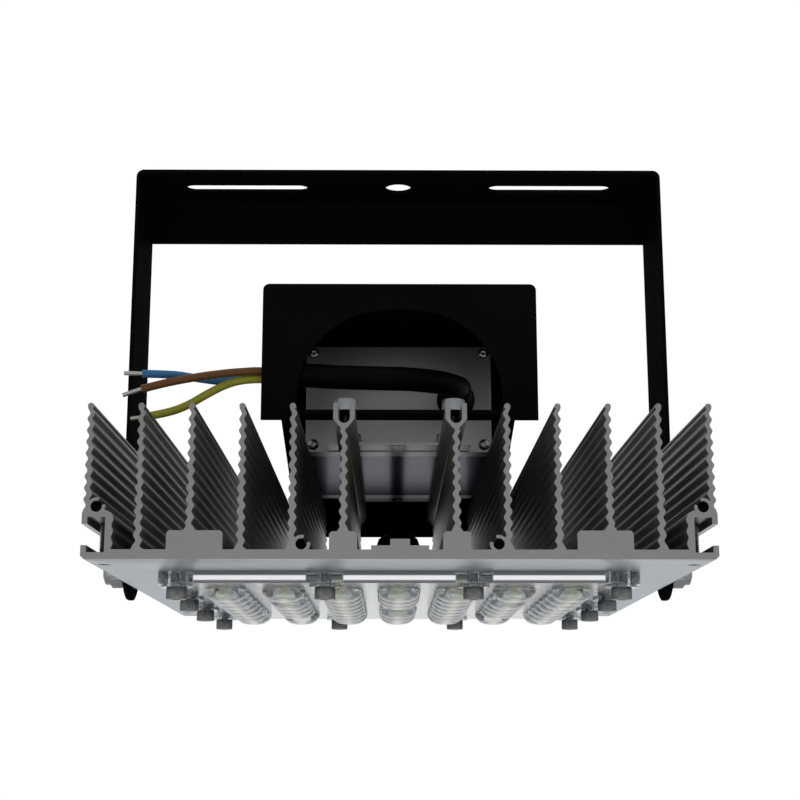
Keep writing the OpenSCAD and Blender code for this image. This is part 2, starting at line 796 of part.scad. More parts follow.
module lens_screws() {
    color("#77787a")
        in_lamp()
            lens_screw_places()
                translate([0, 0, lens_z - boss_h])
                    mirror([0, 0, 1])
                        cap_screw(m4_d, lens_plate_t + boss_h + base_t, m4_head_d, m4_head_h, m4_key);
}

// Cable gland and the lead from the driver

module gland_body() {
    color("#0e0e0e")
        in_lamp()
            difference() {
                union() {
                    translate([0, 0, lead_end_z]) cylinder(d = gland_d, h = gland_body_z - lead_end_z);
                    translate([0, 0, gland_body_z])
                        cylinder(d = gland_nut_d * 2 / sqrt(3) * gland_corner, h = gland_hex_h, $fn = 6);
                    translate([0, 0, gland_body_z])
                        cylinder(d = gland_sleeve_d, h = gland_sleeve_top - gland_body_z);
                }
                cylinder(r = lead_d / 2 + seat_clear, h = gland_top);
                translate([0, 0, gland_seal_z]) cylinder(d = gland_seal_d, h = gland_top);
            }
}

module gland_seal() {
    color("#2a2a2a")
        in_lamp()
            difference() {
                translate([0, 0, gland_seal_z])
                    cylinder(r = gland_seal_d / 2 - seat_clear, h = gland_sleeve_top - gland_seal_z);
                cylinder(r = lead_d / 2 + thread_clear, h = gland_top);
            }
}

module gland_nut() {
    color("#0e0e0e")
        in_lamp()
            difference() {
                union() {
                    translate([0, 0, gland_nut_z])
                        cylinder(d = gland_nut_d, h = gland_collar_top - gland_nut_z);
                    translate([0, 0, gland_collar_top])
                        cylinder(d1 = gland_nut_d - gland_collar_slope, d2 = gland_shoulder_d,
                            h = gland_shoulder_top - gland_collar_top);
                    translate([0, 0, gland_shoulder_top])
                        cylinder(d1 = gland_shoulder_d, d2 = gland_tip_d,
                            h = gland_top - gland_shoulder_top);
                }
                translate([0, 0, gland_nut_z - cut])
                    cylinder(r = gland_sleeve_d / 2 + seat_clear,
                        h = gland_sleeve_top - gland_nut_z + cut + seat_clear);
                cylinder(r = lead_d / 2 + lead_room, h = gland_top + cut);
            }
}

function lead_route() = concat(
    [[lead_x, lead_start_y, lead_exit_z]],
    [for (a = [0 : 22.5 : 180])
        [lead_x, lead_start_y + 1 + lead_turn_r * sin(a),
            lead_low_z + lead_turn_r + lead_turn_r * cos(a)]],
    [[lead_x, (lead_start_y + lead_drop_r) / 2, lead_low_z]],
    [for (a = [0 : 22.5 : 90])
        [lead_x, lead_drop_r * (1 - sin(a)), lead_low_z - lead_drop_r * (1 - cos(a))]],
    [[lead_x, 0, lead_end_z]]);

module driver_lead() {
    color("#101010") in_lamp() tube(lead_route(), lead_d, 12, [1, 0, 0]);
}

// Hood: one folded sheet of steel over the driver

module hood() {
    side_edge_front = fin_top + side_mid - side_slope * hood_front;
    side_edge_back = fin_top + side_mid - side_slope * back_y;
    hood_l = hood_back - hood_front;
    color("#101010")
        in_lamp() {
            difference() {
                intersection() {
                    translate([0, hood_back, 0])
                        rotate([90, 0, 0])
                            linear_extrude(hood_l)
                                hood_outline(hood_w / 2, hood_w / 2, hood_bend_r, hood_low, hood_top);
                    translate([-hood_w / 2, 0, 0])
                        rotate([90, 0, 90])
                            linear_extrude(hood_w)
                                hood_outline(-hood_front, hood_back, hood_bend_r, hood_low, hood_top);
                }
                intersection() {
                    translate([0, hood_back, 0])
                        rotate([90, 0, 0])
                            linear_extrude(hood_l)
                                hood_outline(hood_w / 2 - hood_t, hood_w / 2 - hood_t,
                                    hood_bend_r - hood_t, hood_low - cut, hood_top - hood_t);
                    translate([-hood_w / 2, 0, 0])
                        rotate([90, 0, 90])
                            linear_extrude(hood_w)
                                hood_outline(-hood_front - hood_t, hood_back - hood_t,
                                    hood_bend_r - hood_t, hood_low - cut, hood_top - hood_t);
                }
                // the side plates' lower edges rise towards the front
                translate([-hood_w, 0, 0])
                    rotate([90, 0, 90])
                        linear_extrude(2 * hood_w)
                            polygon([[hood_front + hood_t, hood_low - cut], [back_y, hood_low - cut],
                                [back_y, side_edge_back], [hood_front + hood_t, side_edge_front]]);
                translate([-hood_w, hood_front - cut, hood_low - cut])
                    cube([2 * hood_w, hood_t + 2 * cut, back_drop + cut]);
                translate([0, hood_front, 0]) arch_cut();
                for (side = [-1, 1])
                    translate([side * groove_x, hood_back + cut, screw_axis_h])
                        rotate([90, 0, 0]) cylinder(r = m4_hole, h = 3 * cut + hood_t);
            }
            hood_tab();
        }
}

module hood_outline(left, right, r, low, high) {
    translate([-left, low]) square([left + right, high - low - r]);
    translate([-left + r, low]) square([left + right - 2 * r, high - low]);
    translate([-left + r, high - r]) circle(r = r);
    translate([right - r, high - r]) circle(r = r);
}

// The window is a three-centred arch on straight sides
module arch_cut() {
    sill = fin_top + hood_t;
    half = arch_w / 2;
    top_z = fin_top + arch_h - arch_top_r;
    side_x = half - arch_side_r;
    side_z = top_z + sqrt(pow(arch_top_r - arch_side_r, 2) - pow(side_x, 2));
    meet_x = side_x * arch_top_r / (arch_top_r - arch_side_r);
    translate([0, hood_t + cut, 0])
        rotate([90, 0, 0])
            linear_extrude(hood_t + 2 * cut)
                intersection() {
                    union() {
                        for (side = [-1, 1])
                            translate([side * side_x, side_z]) circle(r = arch_side_r, $fn = 96);
                        intersection() {
                            translate([0, top_z]) circle(r = arch_top_r, $fn = 144);
                            translate([-meet_x, side_z]) square([2 * meet_x, arch_top_r]);
                        }
                        translate([-half, sill]) square([arch_w, side_z - sill]);
                    }
                    translate([-half, sill]) square([arch_w, arch_h]);
                }
}

module hood_tab() {
    difference() {
        translate([-arch_w / 2, hood_front - tab_l, fin_top]) cube([arch_w, tab_l, hood_t]);
        for (side = [-1, 1])
            translate([side * groove_x, tab_screw_y, fin_top - cut])
                cylinder(r = m4_hole, h = hood_t + 2 * cut);
    }
}

module hood_front_screws() {
    grip = hood_t + groove_grip;
    color("#8d9092")
        in_lamp()
            for (side = [-1, 1])
                translate([side * groove_x, tab_screw_y, fin_top + hood_t])
                    cap_screw(m4_d, grip, groove_head_d, groove_head_h, m4_key);
}

module hood_rear_screws() {
    color("#8d9092")
        in_lamp()
            for (side = [-1, 1])
                translate([side * groove_x, hood_back, screw_axis_h])
                    rotate([-90, 0, 0]) cap_screw(m4_d, rear_screw_l, m4_head_d, m4_head_h, m4_key);
}

// Driver: an aluminium case with a cast cap at each end, each with a fixing foot

module cap_screw_places() {
    for (side = [-1, 1], z = [cap_screw_low, cap_screw_high])
        translate([side * cap_screw_x, 0, z]) children();
}

module driver_case() {
    inner_w = driver_w - 2 * case_wall;
    case_l = case_back - case_front;
    color("#8f959a")
        in_lamp()
            translate([0, case_front, 0])
                difference() {
                    union() {
                        difference() {
                            translate([-driver_w / 2, 0, driver_z]) cube([driver_w, case_l, driver_h]);
                            translate([-inner_w / 2, -cut, driver_z + case_wall])
                                cube([inner_w, case_l + 2 * cut, driver_h - 2 * case_wall]);
                        }
                        cap_screw_places()
                            rotate([-90, 0, 0])
                                cylinder(r = cap_screw_inset - seat_clear, h = case_l);
                        both_sides()
                            translate([inner_w / 2 - guide_w, 0, guide_z])
                                cube([guide_w + seat_clear, case_l, guide_w]);
                    }
                    cap_screw_places()
                        translate([0, -cut, 0])
                            rotate([-90, 0, 0])
                                cylinder(r = cap_screw_d / 2 + thread_clear, h = case_l + 2 * cut);
                }
}

// One cap as the front one lies, its outer face towards the viewer
module driver_cap(exit_x, exit_z, exit_d) {
    color("#6a6b67")
        difference() {
            union() {
                translate([-driver_w / 2, 0, driver_z]) cube([driver_w, cap_t, driver_h]);
                translate([-foot_plate_w / 2, -foot_reach, driver_z + foot_lift])
                    cube([foot_plate_w, foot_reach + cut, foot_t]);
            }
            cap_screw_places()
                translate([0, -cut, 0])
                    rotate([-90, 0, 0])
                        cylinder(r = cap_screw_d / 2 + seat_clear, h = cap_t + 2 * cut);
            for (side = [-1, 1])
                translate([side * groove_x, -mount_screw_out, driver_z])
                    cylinder(r = mount_screw_hole, h = foot_lift + foot_t + cut);
            translate([-foot_slot_w / 2, -(foot_reach + foot_slot_l) / 2, driver_z])
                cube([foot_slot_w, foot_slot_l, foot_lift + foot_t + cut]);
            translate([exit_x, -cut, exit_z])
                rotate([-90, 0, 0]) cylinder(d = exit_d, h = cap_t + 2 * cut);
        }
}

module driver_front_cap() {
    in_lamp()
        translate([0, driver_front, 0])
            driver_cap(cable_exit_x, driver_z + exit_rise, cable_d - 1);
}

module driver_rear_cap() {
    in_lamp()
        translate([0, driver_back, 0])
            mirror([0, 1, 0]) driver_cap(lead_x, lead_exit_z, lead_d - 1);
}

module driver_board() {
    inner_w = driver_w - 2 * case_wall - 2 * seat_clear;
    board_z = guide_z + guide_w;
    board_y = case_front + board_gap;
    length = case_back - case_front - 2 * board_gap;
    color("#2f6b3c")
        in_lamp() {
            translate([-inner_w / 2, board_y, board_z]) cube([inner_w, length, driver_board_t]);
            translate([-transformer[0] / 2, board_y + length * 0.4, board_z]) cube(transformer);
            for (y = [0.14, 0.82])
                translate([-part_x, board_y + length * y, board_z])
                    cylinder(d = capacitor_d, h = capacitor_h);
            translate([part_x, board_y + length * 0.12, board_z]) cube(coil);
        }
}

module driver_cap_screws() {
    color("#9a9c9e")
        in_lamp()
            cap_screw_places() {
                translate([0, driver_front, 0])
                    rotate([90, 0, 0])
                        cap_screw(cap_screw_d, cap_screw_l, cap_screw_head_d,
                            cap_screw_head_h, cap_screw_key);
                translate([0, driver_back, 0])
                    rotate([-90, 0, 0])
                        cap_screw(cap_screw_d, cap_screw_l, cap_screw_head_d,
                            cap_screw_head_h, cap_screw_key);
            }
}

module driver_mount_screws() {
    length = foot_t + foot_lift + groove_grip;
    color("#8d9092")
        in_lamp()
            for (side = [-1, 1], y = [mount_front_y, mount_back_y])
                translate([side * groove_x, y, foot_top])
                    cap_screw(m4_d, length, groove_head_d, groove_head_h, m4_key);
}

module mains_strain_relief() {
    color("#0c0c0c")
        in_lamp()
            translate([cable_exit_x, driver_front, driver_z + exit_rise])
                rotate([90, 0, 0]) {
                    cylinder(d = boot_root_d, h = boot_flange_t);
                    cylinder(d1 = boot_neck_d, d2 = boot_tip_d, h = boot_l);
                }
}

module lead_strain_relief() {
    color("#0c0c0c")
        in_lamp()
            translate([lead_x, driver_back, lead_exit_z])
                rotate([-90, 0, 0]) {
                    cylinder(d = lead_d + 2 * lead_boot_rim, h = lead_boot_rim_t);
                    cylinder(d1 = lead_d + 2 * lead_boot_root, d2 = lead_d + 2 * lead_boot_tip,
                        h = lead_boot_l);
                }
}

// Mains cable and its three cores

module cord(route, d, sides) {
    in_lamp()
        translate([cable_exit_x, front_y, fin_top])
            tube(concat([route[0]], smooth([for (i = [1 : len(route) - 1]) route[i]], 2)),
                d, sides, [0, 0, 1]);
}

module mains_cable() {
    color("#0c0c0c") cord(cable_route, cable_d, 12);
}

module core_brown() {
    color("#6b3d22") cord(brown_route, core_d, 8);
}

module core_blue() {
    color("#2f6ca8") cord(blue_route, core_d, 8);
}

module core_green_yellow() {
    color("#8c9127") cord(yellow_route, core_d, 8);
}

module wire_ends() {
    color("#b9b9b9")
        in_lamp()
            translate([cable_exit_x, front_y, fin_top])
                for (wire = [brown_wire, blue_wire, yellow_wire]) tube(wire, wire_d, 8, [0, 0, 1]);
}

// Pivots: a bolt stands in each side channel and carries the yoke's arm

module along_pivot(x) {
    both_sides()
        translate([x, pivot_y, -pivot_drop]) rotate([0, 90, 0]) children();
}

module pivot_bolts() {
    reach = arm_out + arm_gap + washer_t + nut_hex_h + nut_collar_h + bolt_tip - channel_out;
    color("#77787a")
        along_pivot(channel_out) {
            cylinder(d = bolt_d, h = reach);
            translate([0, 0, -bolt_head_h])
                rotate(30)
                    cylinder(d = bolt_af * 2 / sqrt(3), h = bolt_head_h, $fn = 6);
        }
}

module pivot_spacers() {
    color("#77787a")
        along_pivot(half_w)
            difference() {
                cylinder(d = washer_d, h = spacer_t);
                translate([0, 0, -cut]) cylinder(r = bolt_d / 2 + seat_clear, h = spacer_t + 2 * cut);
            }
}

module pivot_washers() {
    color("#9fa2a4")
        along_pivot(arm_out + arm_gap)
            difference() {
                cylinder(d = washer_d, h = washer_t);
                translate([0, 0, -cut]) cylinder(r = bolt_d / 2 + seat_clear, h = washer_t + 2 * cut);
            }
}

module pivot_lock_nuts() {
    hex_d = bolt_af * 2 / sqrt(3);
    color("#9fa2a4")
        along_pivot(arm_out + arm_gap + washer_t)
            difference() {
                union() {
                    cylinder(d = hex_d, h = nut_hex_h, $fn = 6);
                    cylinder(d = bolt_af - 1, h = nut_hex_h + nut_collar_h);
                }
                translate([0, 0, -cut])
                    cylinder(r = bolt_d / 2 + thread_clear, h = nut_hex_h + nut_collar_h + 2 * cut);
            }
}

yoke();
heat_sink();
channel_screws();
lens_plate();
lens_gasket();
led_board();
leds();
board_screws();
lens_screws();
gland_body();
gland_seal();
gland_nut();
driver_lead();
hood();
hood_front_screws();
hood_rear_screws();
driver_case();
driver_board();
driver_front_cap();
driver_rear_cap();
driver_cap_screws();
driver_mount_screws();
mains_strain_relief();
lead_strain_relief();
mains_cable();
core_brown();
core_blue();
core_green_yellow();
wire_ends();
pivot_bolts();
pivot_spacers();
pivot_washers();
pivot_lock_nuts();
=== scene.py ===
import math

import bmesh
import bpy
import numpy as np
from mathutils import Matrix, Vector


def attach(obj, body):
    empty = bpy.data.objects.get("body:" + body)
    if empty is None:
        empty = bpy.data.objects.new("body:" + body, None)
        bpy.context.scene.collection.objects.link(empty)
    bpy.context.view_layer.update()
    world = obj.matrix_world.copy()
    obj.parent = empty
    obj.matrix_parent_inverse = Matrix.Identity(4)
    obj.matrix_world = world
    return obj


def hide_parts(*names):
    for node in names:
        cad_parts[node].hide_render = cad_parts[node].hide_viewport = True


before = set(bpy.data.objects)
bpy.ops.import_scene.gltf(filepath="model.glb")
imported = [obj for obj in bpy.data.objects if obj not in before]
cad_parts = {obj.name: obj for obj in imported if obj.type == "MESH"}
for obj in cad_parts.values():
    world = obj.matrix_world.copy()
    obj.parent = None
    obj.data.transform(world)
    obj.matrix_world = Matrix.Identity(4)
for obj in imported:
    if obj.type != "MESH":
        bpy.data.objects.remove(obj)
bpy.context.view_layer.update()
scene = bpy.context.scene


# Camera
# The lens and place that the photograph was taken with: a long lens, tilted up a little,
# looking along the fins from in front of and below the heat sink.
FRAME_PX = 800
FOCAL_PX = 1500
SENSOR_MM = 36.0
PITCH = math.radians(12.48)
YAW = math.radians(0.38)
CAMERA_AT = (-0.00315, -0.5864, -0.22043)

camera_data = bpy.data.cameras.new("camera")
camera_data.sensor_width = SENSOR_MM
camera_data.lens = SENSOR_MM * FOCAL_PX / FRAME_PX
camera_data.clip_start = 0.01
camera_data.clip_end = 60
camera = bpy.data.objects.new("camera", camera_data)
camera.location = CAMERA_AT
camera.rotation_euler = (math.pi / 2 + PITCH, 0, -YAW)
scene.collection.objects.link(camera)
scene.camera = camera


# Studio
# A white room: pure white where the camera, glossy and clear surfaces see it, and softer as
# a light. A sheet of white paper below the lamp takes its shadow and glows a little.
WORLD_LIGHT = 0.5
FLOOR_Z = -0.42
FLOOR_HALF = 1.6
FLOOR_GLOW = 0.35
FLOOR_SEEN = 0.7
TOP_LIGHT_W = 9
LOW_LIGHT_W = 2.2


def add(tree, kind, values=None):
    """Adds a node. Each value is a socket to link, an input's value, or a setting of the node."""
    node = tree.nodes.new(kind)
    for key, value in (values or {}).items():
        if isinstance(key, str) and key not in node.inputs:
            setattr(node, key, value)
        elif isinstance(value, bpy.types.NodeSocket):
            tree.links.new(value, node.inputs[key])
        else:
            node.inputs[key].default_value = value
    return node


world = bpy.data.worlds.new("white_room")
world.use_nodes = True
scene.world = world
room = world.node_tree
room.nodes.clear()
rays = add(room, "ShaderNodeLightPath")
seen = add(room, "ShaderNodeMath", {"operation": "MAXIMUM", 0: rays.outputs["Is Camera Ray"],
                                    1: rays.outputs["Is Glossy Ray"]})
seen = add(room, "ShaderNodeMath", {"operation": "MAXIMUM", 0: seen.outputs[0],
                                    1: rays.outputs["Is Transmission Ray"]})
glow = add(room, "ShaderNodeMapRange", {0: seen.outputs[0], 3: WORLD_LIGHT, 4: 1.0})
white = add(room, "ShaderNodeBackground", {"Color": (1, 1, 1, 1), "Strength": glow.outputs[0]})
add(room, "ShaderNodeOutputWorld", {"Surface": white.outputs[0]})

floor_mesh = bpy.data.meshes.new("floor")
corners = FLOOR_HALF * np.array([(-1, -1), (1, -1), (1, 1), (-1, 1)])
floor_mesh.from_pydata([(x, y, FLOOR_Z) for x, y in corners], [], [(0, 1, 2, 3)])
floor = bpy.data.objects.new("floor", floor_mesh)
scene.collection.objects.link(floor)
floor_mat = bpy.data.materials.new("white_paper_floor")
floor_mat.use_nodes = True
tree = floor_mat.node_tree
tree.nodes.clear()
paper = add(tree, "ShaderNodeBsdfDiffuse", {"Color": (0.9, 0.9, 0.9, 1)})
rays = add(tree, "ShaderNodeLightPath")
glow = add(tree, "ShaderNodeMapRange", {0: rays.outputs["Is Camera Ray"], 3: FLOOR_GLOW,
                                        4: FLOOR_SEEN})
lit = add(tree, "ShaderNodeEmission", {"Color": (1, 1, 1, 1), "Strength": glow.outputs[0]})
both = add(tree, "ShaderNodeAddShader", {0: paper.outputs[0], 1: lit.outputs[0]})
# Seen from below, the sheet doesn't hide the lamp.
back = add(tree, "ShaderNodeNewGeometry").outputs["Backfacing"]
nothing = add(tree, "ShaderNodeBsdfTransparent")
shown = add(tree, "ShaderNodeMixShader", {0: back, 1: both.outputs[0], 2: nothing.outputs[0]})
add(tree, "ShaderNodeOutputMaterial", {"Surface": shown.outputs[0]})
floor_mesh.materials.append(floor_mat)


def softbox(name, at, to, size, power):
    """A square area lamp at one point, facing another."""
    data = bpy.data.lights.new(name, "AREA")
    data.shape = "SQUARE"
    data.size = size
    data.energy = power
    lamp = bpy.data.objects.new(name, data)
    lamp.location = at
    lamp.rotation_euler = (Vector(to) - Vector(at)).to_track_quat("-Z", "Y").to_euler()
    scene.collection.objects.link(lamp)


softbox("top_light", (0.3, -0.5, 1.4), (0, 0, -0.15), 1.2, TOP_LIGHT_W)
softbox("low_light", (0, -0.5, -0.4), (0, 0, -0.16), 0.8, LOW_LIGHT_W)


# Mains cable and its cores
# A black rubber cable of 8.3 mm leaves the driver's boot, turns across the hood and is cut
# off short. Its brown, blue and green-yellow PVC cores fan out and end in tinned strands.
MM = 0.001
LAMP = np.array([0, 0, -0.16765])
EXIT = np.array([21.6, -118, 49.9])
CABLE_D = 8.3 * MM
CORE_D = 2.8 * MM
WIRE_D = 1.5 * MM
CABLE_SIDES = 32
CORE_SIDES = 24
ROUTE_STEPS = 4
WIRE_RINGS = 6
CABLE_ROUTE = [(0, 66, 19.8), (0, 64.5, 19.8), (-0.7, 59, 18.8), (-3.1, 52, 17.9), (-7, 45.7, 17.4),
               (-12.2, 40.4, 16.8), (-18.5, 36.3, 16.4), (-25.6, 33.8, 16), (-33, 33, 16),
               (-43.6, 33, 16.3), (-50, 33, 16.7), (-57, 33, 17.1), (-63.6, 33, 17.1)]
BROWN_ROUTE = [(-63.6, 31.5, 18), (-71.6, 31.5, 18), (-79.6, 31.5, 17.4), (-89.6, 31.5, 16.1),
               (-100.6, 31.5, 14), (-109.6, 31.5, 11.7)]
BLUE_ROUTE = [(-63.6, 34.5, 18), (-65.6, 34.5, 18), (-70.5, 35.8, 17.5), (-77.6, 37.4, 16.3),
              (-83.6, 38, 16), (-91.6, 38, 17), (-99.6, 38, 18.2), (-110.6, 38, 18.6)]
YELLOW_ROUTE = [(-63.6, 33, 15.4), (-66, 33, 15.4), (-71, 33, 15.5), (-76.6, 33.4, 15),
                (-81.6, 34, 13.6), (-87.6, 34.5, 10.6), (-93.6, 35, 7.2), (-99.6, 35, 4.7),
                (-108.6, 35, 2.7)]
WIRE_ROUTES = [[(-109.6, 31.5, 11.7), (-116, 31.5, 9.5)], [(-110.6, 38, 18.6), (-117, 38, 18.8)],
               [(-108.6, 35, 2.7), (-113.6, 35, 1.9)]]


def linear(code):
    """sRGB hex to linear light: c / 12.92 up to 0.04045, else ((c + 0.055) / 1.055) ** 2.4."""
    c = np.array([int(code[i : i + 2], 16) for i in (1, 3, 5)]) / 255
    c = np.where(c <= 0.04045, c / 12.92, ((c + 0.055) / 1.055) ** 2.4)
    return (*map(float, c), 1.0)


def surface(name, values):
    """A new material with one principled shader; returns the material, its tree and the shader."""
    mat = bpy.data.materials.new(name)
    mat.use_nodes = True
    tree = mat.node_tree
    tree.nodes.clear()
    principled = add(tree, "ShaderNodeBsdfPrincipled", values)
    add(tree, "ShaderNodeOutputMaterial", {"Surface": principled.outputs["BSDF"]})
    return mat, tree, principled


def mottled(name, low, high, scale, depth, values):
    """A colour that wavers between two near shades, with a bump of the same grain: scale is
    grains per metre and depth the grain's height in metres."""
    mat, tree, bsdf = surface(name, values)
    at = add(tree, "ShaderNodeTexCoord").outputs["Object"]
    grain = add(tree, "ShaderNodeTexNoise", {"Vector": at, "Scale": scale, "Detail": 3.0})
    tint = add(tree, "ShaderNodeMix", {"data_type": "RGBA", 0: grain.outputs[0], 6: linear(low),
                                       7: linear(high)})
    bump = add(tree, "ShaderNodeBump", {"Height": grain.outputs[0], "Distance": depth,
                                        "Strength": 0.5})
    tree.links.new(tint.outputs[2], bsdf.inputs["Base Color"])
    tree.links.new(bump.outputs[0], bsdf.inputs["Normal"])
    return mat


def smooth_route(points, steps):
    """A straight first step, then a Catmull-Rom curve: between b and c it is half of
    2b + (c-a)t + (2a-5b+4c-d)t2 + (3b-a-3c+d)t3."""
    p = (np.array(points, float) + EXIT) * MM + LAMP
    q = p[1:]
    first = np.arange(len(q) - 1)
    a, b, c, d = (q[np.clip(first + k, 0, len(q) - 1)][:, None] for k in (-1, 0, 1, 2))
    t = (np.arange(steps) / steps)[None, :, None]
    curve = (2 * b + (c - a) * t + (2 * a - 5 * b + 4 * c - d) * t**2 + (3 * b - a - 3 * c + d) * t**3) / 2
    return np.vstack([p[:1], curve.reshape(-1, 3), p[-1:]])


def swept(path, radius, sides, across=(0, 0, 1)):
    """A tube: point + r (cos v u + sin v w), where u = t x across and w = t x u."""
    t = np.gradient(path, axis=0)
    t /= np.linalg.norm(t, axis=1, keepdims=True)
    u = np.cross(t, across)
    u /= np.linalg.norm(u, axis=1, keepdims=True)
    w = np.cross(t, u)
    v = np.linspace(0, 2 * np.pi, sides, endpoint=False)[None, :, None]
    return path[:, None] + radius * (np.cos(v) * u[:, None] + np.sin(v) * w[:, None])


def grid_faces(rings, sides):
    """Quads of a grid closed round its second direction, with a flat face at each end."""
    i, j = np.meshgrid(np.arange(rings - 1), np.arange(sides), indexing="ij")
    k = (j + 1) % sides
    quads = np.stack([i * sides + j, i * sides + k, (i + 1) * sides + k, (i + 1) * sides + j], -1)
    first = list(range(sides))[::-1]
    last = list(range((rings - 1) * sides, rings * sides))
    return quads.reshape(-1, 4).tolist() + [first, last]


def tube_uv(path, sides):
    """Round the tube from 0 to 1, and along it in centimetres."""
    steps = np.linalg.norm(np.diff(path, axis=0), axis=1)
    along = np.concatenate([[0], np.cumsum(steps)]) * 100
    return np.stack(np.meshgrid(along, np.arange(sides) / sides, indexing="ij")[::-1], -1)


def piece(name, grids, mat, replaced, sharp=35, uvs=None):
    """One mesh object of the lamp head, at the origin, from grids of rings by sides, welded, with
    its faces turned outwards and smooth but for its sharp edges."""
    points = np.vstack([g.reshape(-1, 3) for g in grids])
    faces = []
    start = 0
    for g in grids:
        faces += [[start + i for i in face] for face in grid_faces(*g.shape[:2])]
        start += g.shape[0] * g.shape[1]
    mesh = bpy.data.meshes.new(name)
    mesh.from_pydata(points.tolist(), [], faces)
    if uvs is not None:
        layer = mesh.uv_layers.new(name="uv")
        at = np.zeros(len(mesh.loops), np.int32)
        mesh.loops.foreach_get("vertex_index", at)
        layer.data.foreach_set("uv", np.vstack([uv.reshape(-1, 2) for uv in uvs])[at].ravel())
    work = bmesh.new()
    work.from_mesh(mesh)
    bmesh.ops.remove_doubles(work, verts=work.verts, dist=1e-7)
    bmesh.ops.recalc_face_normals(work, faces=work.faces)
    work.to_mesh(mesh)
    work.free()
    mesh.polygons.foreach_set("use_smooth", [True] * len(mesh.polygons))
    mesh.set_sharp_from_angle(angle=math.radians(sharp))
    mesh.materials.append(mat)
    obj = bpy.data.objects.new(name, mesh)
    scene.collection.objects.link(obj)
    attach(obj, "lamp")
    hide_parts(*replaced)
    return obj


def insulation(name, main, stripe=None):
    """Extruded PVC, satin and faintly cloudy; an earth core has one green stripe down it."""
    mat, tree, bsdf = surface(name, {"Roughness": 0.42, "Specular IOR Level": 0.12})
    at = add(tree, "ShaderNodeTexCoord")
    cloud = add(tree, "ShaderNodeTexNoise", {"Vector": at.outputs["Object"], "Scale": 420.0,
                                             "Detail": 3.0})
    dark = tuple(0.8 * c for c in linear(main)[:3]) + (1.0,)
    tint = add(tree, "ShaderNodeMix", {"data_type": "RGBA", 0: cloud.outputs[0], 6: dark, 7: linear(main)})
    colour = tint.outputs[2]
    if stripe:
        turn = add(tree, "ShaderNodeSeparateXYZ", {"Vector": at.outputs["UV"]})
        wave = add(tree, "ShaderNodeMath", {"operation": "PINGPONG", 0: turn.outputs[0], 1: 0.5})
        edge = add(tree, "ShaderNodeMapRange", {0: wave.outputs[0], 1: 0.14, 2: 0.12})
        colour = add(tree, "ShaderNodeMix", {"data_type": "RGBA", 0: edge.outputs[0], 6: colour,
                                             7: linear(stripe)}).outputs[2]
    bump = add(tree, "ShaderNodeBump", {"Height": cloud.outputs[0], "Distance": 0.00002, "Strength": 0.3})
    tree.links.new(colour, bsdf.inputs["Base Color"])
    tree.links.new(bump.outputs[0], bsdf.inputs["Normal"])
    return mat


def tinned_strands():
    """Tinned copper strands, twisted: bright metal with slanting grooves 0.25 mm apart."""
    mat, tree, bsdf = surface("tinned_copper_strands", {"Metallic": 1.0, "Roughness": 0.35,
                                                        "Base Color": linear("#82817D")})
    at = add(tree, "ShaderNodeTexCoord").outputs["UV"]
    split = add(tree, "ShaderNodeSeparateXYZ", {"Vector": at})
    twist = add(tree, "ShaderNodeMath", {"operation": "MULTIPLY_ADD", 0: split.outputs[1], 1: 1.2,
                                         2: split.outputs[0]})
    groove = add(tree, "ShaderNodeMath", {"operation": "MULTIPLY", 0: twist.outputs[0], 1: 10.0})
    wave = add(tree, "ShaderNodeMath", {"operation": "PINGPONG", 0: groove.outputs[0], 1: 0.5})
    bump = add(tree, "ShaderNodeBump", {"Height": wave.outputs[0], "Distance": 0.0001, "Strength": 0.8})
    tree.links.new(bump.outputs[0], bsdf.inputs["Normal"])
    return mat


# Black rubber: matt, its fine grain about 0.4 mm, near black with little gloss.
black_rubber = mottled("extruded_black_rubber", "#020202", "#050505",
                       scale=2200.0, depth=0.00003, values={"Roughness": 0.55, "Specular IOR Level": 0.02})


wire_paths = []
for route in WIRE_ROUTES:
    ends = (np.array(route) + EXIT) * MM + LAMP
    wire_paths.append(ends[0] + np.linspace(0, 1, WIRE_RINGS)[:, None] * (ends[1] - ends[0]))
wire_ends = piece("wire_ends_strands", [swept(path, WIRE_D / 2, CORE_SIDES) for path in wire_paths],
                  tinned_strands(), ["wire_ends"],
                  uvs=[tube_uv(path, CORE_SIDES) for path in wire_paths])


def cord_piece(node, route, d, mat, sides):
    """A tube along a node's route, in the node's place."""
    path = smooth_route(route, ROUTE_STEPS)
    obj = piece(node + "_skin", [swept(path, d / 2, sides)], mat, [node],
                uvs=[tube_uv(path, sides)])


brown_pvc = insulation("brown_pvc_insulation", "#54361B")
blue_pvc = insulation("blue_pvc_insulation", "#2A5A80")
earth_pvc = insulation("green_yellow_pvc_insulation", "#7F7F27", "#3E6A26")
cord_piece("mains_cable", CABLE_ROUTE, CABLE_D, black_rubber, CABLE_SIDES)
cord_piece("core_brown", BROWN_ROUTE, CORE_D, brown_pvc, CORE_SIDES)
cord_piece("core_blue", BLUE_ROUTE, CORE_D, blue_pvc, CORE_SIDES)
cord_piece("core_green_yellow", YELLOW_ROUTE, CORE_D, earth_pvc, CORE_SIDES)


# Yoke
# One strip of 1.5 mm steel sheet, punched and bent to a U, with a stiffening flange behind
# the crossbar, powder coated satin black after bending.
def whole_faces(node):
    """A merged copy of a CAD node's mesh in a bmesh, its flat faces made whole."""
    work = bmesh.new()
    work.from_mesh(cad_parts[node].data)
    bmesh.ops.remove_doubles(work, verts=work.verts, dist=1e-6)
    bmesh.ops.dissolve_limit(work, angle_limit=math.radians(0.5), verts=work.verts, edges=work.edges)
    return work


